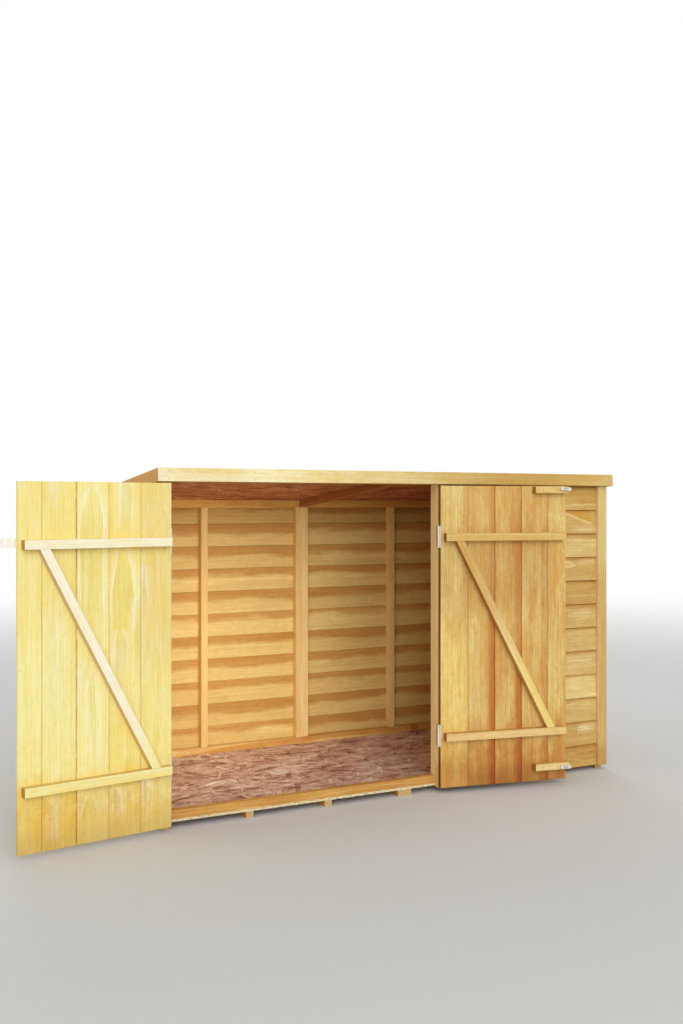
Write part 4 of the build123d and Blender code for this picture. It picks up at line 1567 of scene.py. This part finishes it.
def shelter_nails():
    """Nails of the walls, trims and floor."""
    found = []
    for side, out, studs in (("front", -1, FRONT_STUDS), ("back", 1, BACK_STUDS)):
        starts = [(x, out * (HALF_DEPTH + FAR), z) for x in studs for z in board_heights(side)]
        found += nailed([f"{side}_wall_boards"], starts, (0, -out, 0))
    for side, out in (("left", -1), ("right", 1)):
        starts = [(out * (HALF_WIDTH + FAR), y, z) for y in SIDE_STUDS for z in board_heights(side)]
        found += nailed([f"{side}_wall_boards"], starts, (-out, 0, 0))
    starts = [(x, -HALF_DEPTH - FAR, z) for x in FRONT_TRIMS for z in spread(0.06, 1.26, TRIM_NAIL_STEP)]
    trims = ("left_door_strip_dressed", "right_door_strip_dressed", "front_corner_trim_dressed")
    found += nailed(trims, starts, (0, 1, 0))
    starts = [(x, HALF_DEPTH + FAR, z) for x in BACK_TRIMS for z in spread(0.06, 1.16, TRIM_NAIL_STEP)]
    found += nailed(["back_trims_dressed"], starts, (0, -1, 0))
    for side, out in (("front", -1), ("back", 1)):
        rows = [FASCIA_MIDDLES[side] - FASCIA_PAIR, FASCIA_MIDDLES[side] + FASCIA_PAIR]
        starts = [(x, out * 0.65, z) for x in spread(-1.03, 1.03, 0.34) for z in rows]
        found += nailed([f"{side}_fascia_dressed"], starts, (0, -out, 0))
    for out in (-1, 1):
        starts = [(out * 1.15, y, 1.3 - (y + 0.5) * ROOF_FALL) for y in spread(-0.48, 0.48, 0.32)]
        found += nailed(["bargeboards_dressed"], starts, (-out, 0, 0))
    bearers = [sign * (BEARER_HALF + BEARER_STEP * i) for sign in (-1, 1) for i in range(3)]
    starts = [(x, y, 0.2) for x in bearers for y in spread(-0.42, 0.42, 0.21)]
    return found + nailed(["floor_left_strands", "floor_right_strands"], starts, (0, 0, -1))


def door_nails(side):
    """Nails through a door's boards into its ledges, from outside."""
    place, inward = door_place(side), 1 if side == "left" else -1
    columns = [DOOR_START + DOOR_BOARD * i + gap for i in range(5) for gap in BOARD_NAILS]
    columns = [x for x in columns if DOOR_START + EDGE_ROOM < x < DOOR_END - EDGE_ROOM]
    starts = []
    for i, x in enumerate(columns):
        shift = NAIL_STAGGER if i % 2 else -NAIL_STAGGER
        starts += [place @ Vector((x, -inward * 0.1, ledge + shift)) for ledge in LEDGE_MIDDLES]
    return nailed([f"{side}_leaf_boards"], starts, in_leaf(side, (0, inward, 0)))


def block_screws():
    """Two screws in each stop block."""
    place = door_place("right")
    starts = [place @ Vector((x, -0.15, z)) for x in BLOCK_SCREWS_X for z in BLOCK_SCREWS_Z]
    return nailed(["right_door_stop_blocks_dressed"], starts, in_leaf("right", (0, 1, 0)))


heads("shelter_nails", shelter_nails(), nail_head, "shelter", steel, 11)
for side in ("left", "right"):
    heads(f"{side}_door_nails", door_nails(side), nail_head, f"{side}_door", steel, 12)
heads("block_screws", block_screws(), screw_head, "right_door", steel, 13)

lap_starts = [roof_turn @ Vector((x, lap_edge - LAP_NAIL_IN, 2.0)) for x in spread(-1.02, 1.02, CLOUT_STEP)]
clouts = landed([surface_of(felt_strips)], lap_starts, roof_turn @ Vector((0, 0, -1)), reach=2.0)
heads("felt_nails", clouts, clout_head, "shelter", zinc, 14)

# %% [markdown]
# Each hinge leaf takes three countersunk screws. They are aimed in the same way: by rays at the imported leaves,
# along the wall and along the plane of the open door.

# %% Hinge screws
HINGE_MIDDLES = (0.238, 1.06123)
HINGE_SCREWS = (-0.034, 0.0, 0.034)
LEAF_MIDDLE, CLEAR = 0.0125, 0.05


def hinge_screws(side):
    """Screws of the two frame leaves and the two door leaves of a door, as two lists."""
    place = door_place(side)
    joint = joints[f"{side}_door_hinge"]["pos_m"]
    out = 1 if side == "left" else -1
    heights = [middle + shift for middle in HINGE_MIDDLES for shift in HINGE_SCREWS]
    frame_leaves = surface_of(nodes[f"{side}_hinge_frame_leaves"])
    door_leaves = surface_of(nodes[f"{side}_hinge_door_leaves"])
    starts = [(joint[0] + out * CLEAR, joint[1] + LEAF_MIDDLE, z) for z in heights]
    frame_found = landed([frame_leaves], starts, (-out, 0, 0), COUNTERSUNK)
    starts = [place @ Vector((-CLEAR, out * LEAF_MIDDLE, z)) for z in heights]
    return frame_found, landed([door_leaves], starts, in_leaf(side, (1, 0, 0)), COUNTERSUNK)


for side in ("left", "right"):
    for body, found in zip(("shelter", f"{side}_door"), hinge_screws(side)):
        heads(f"{side}_hinge_screws_{body}", found, screw_head, body, zinc, 15)

for head in (nail_head, clout_head, screw_head):
    bpy.data.objects.remove(head, do_unlink=True)
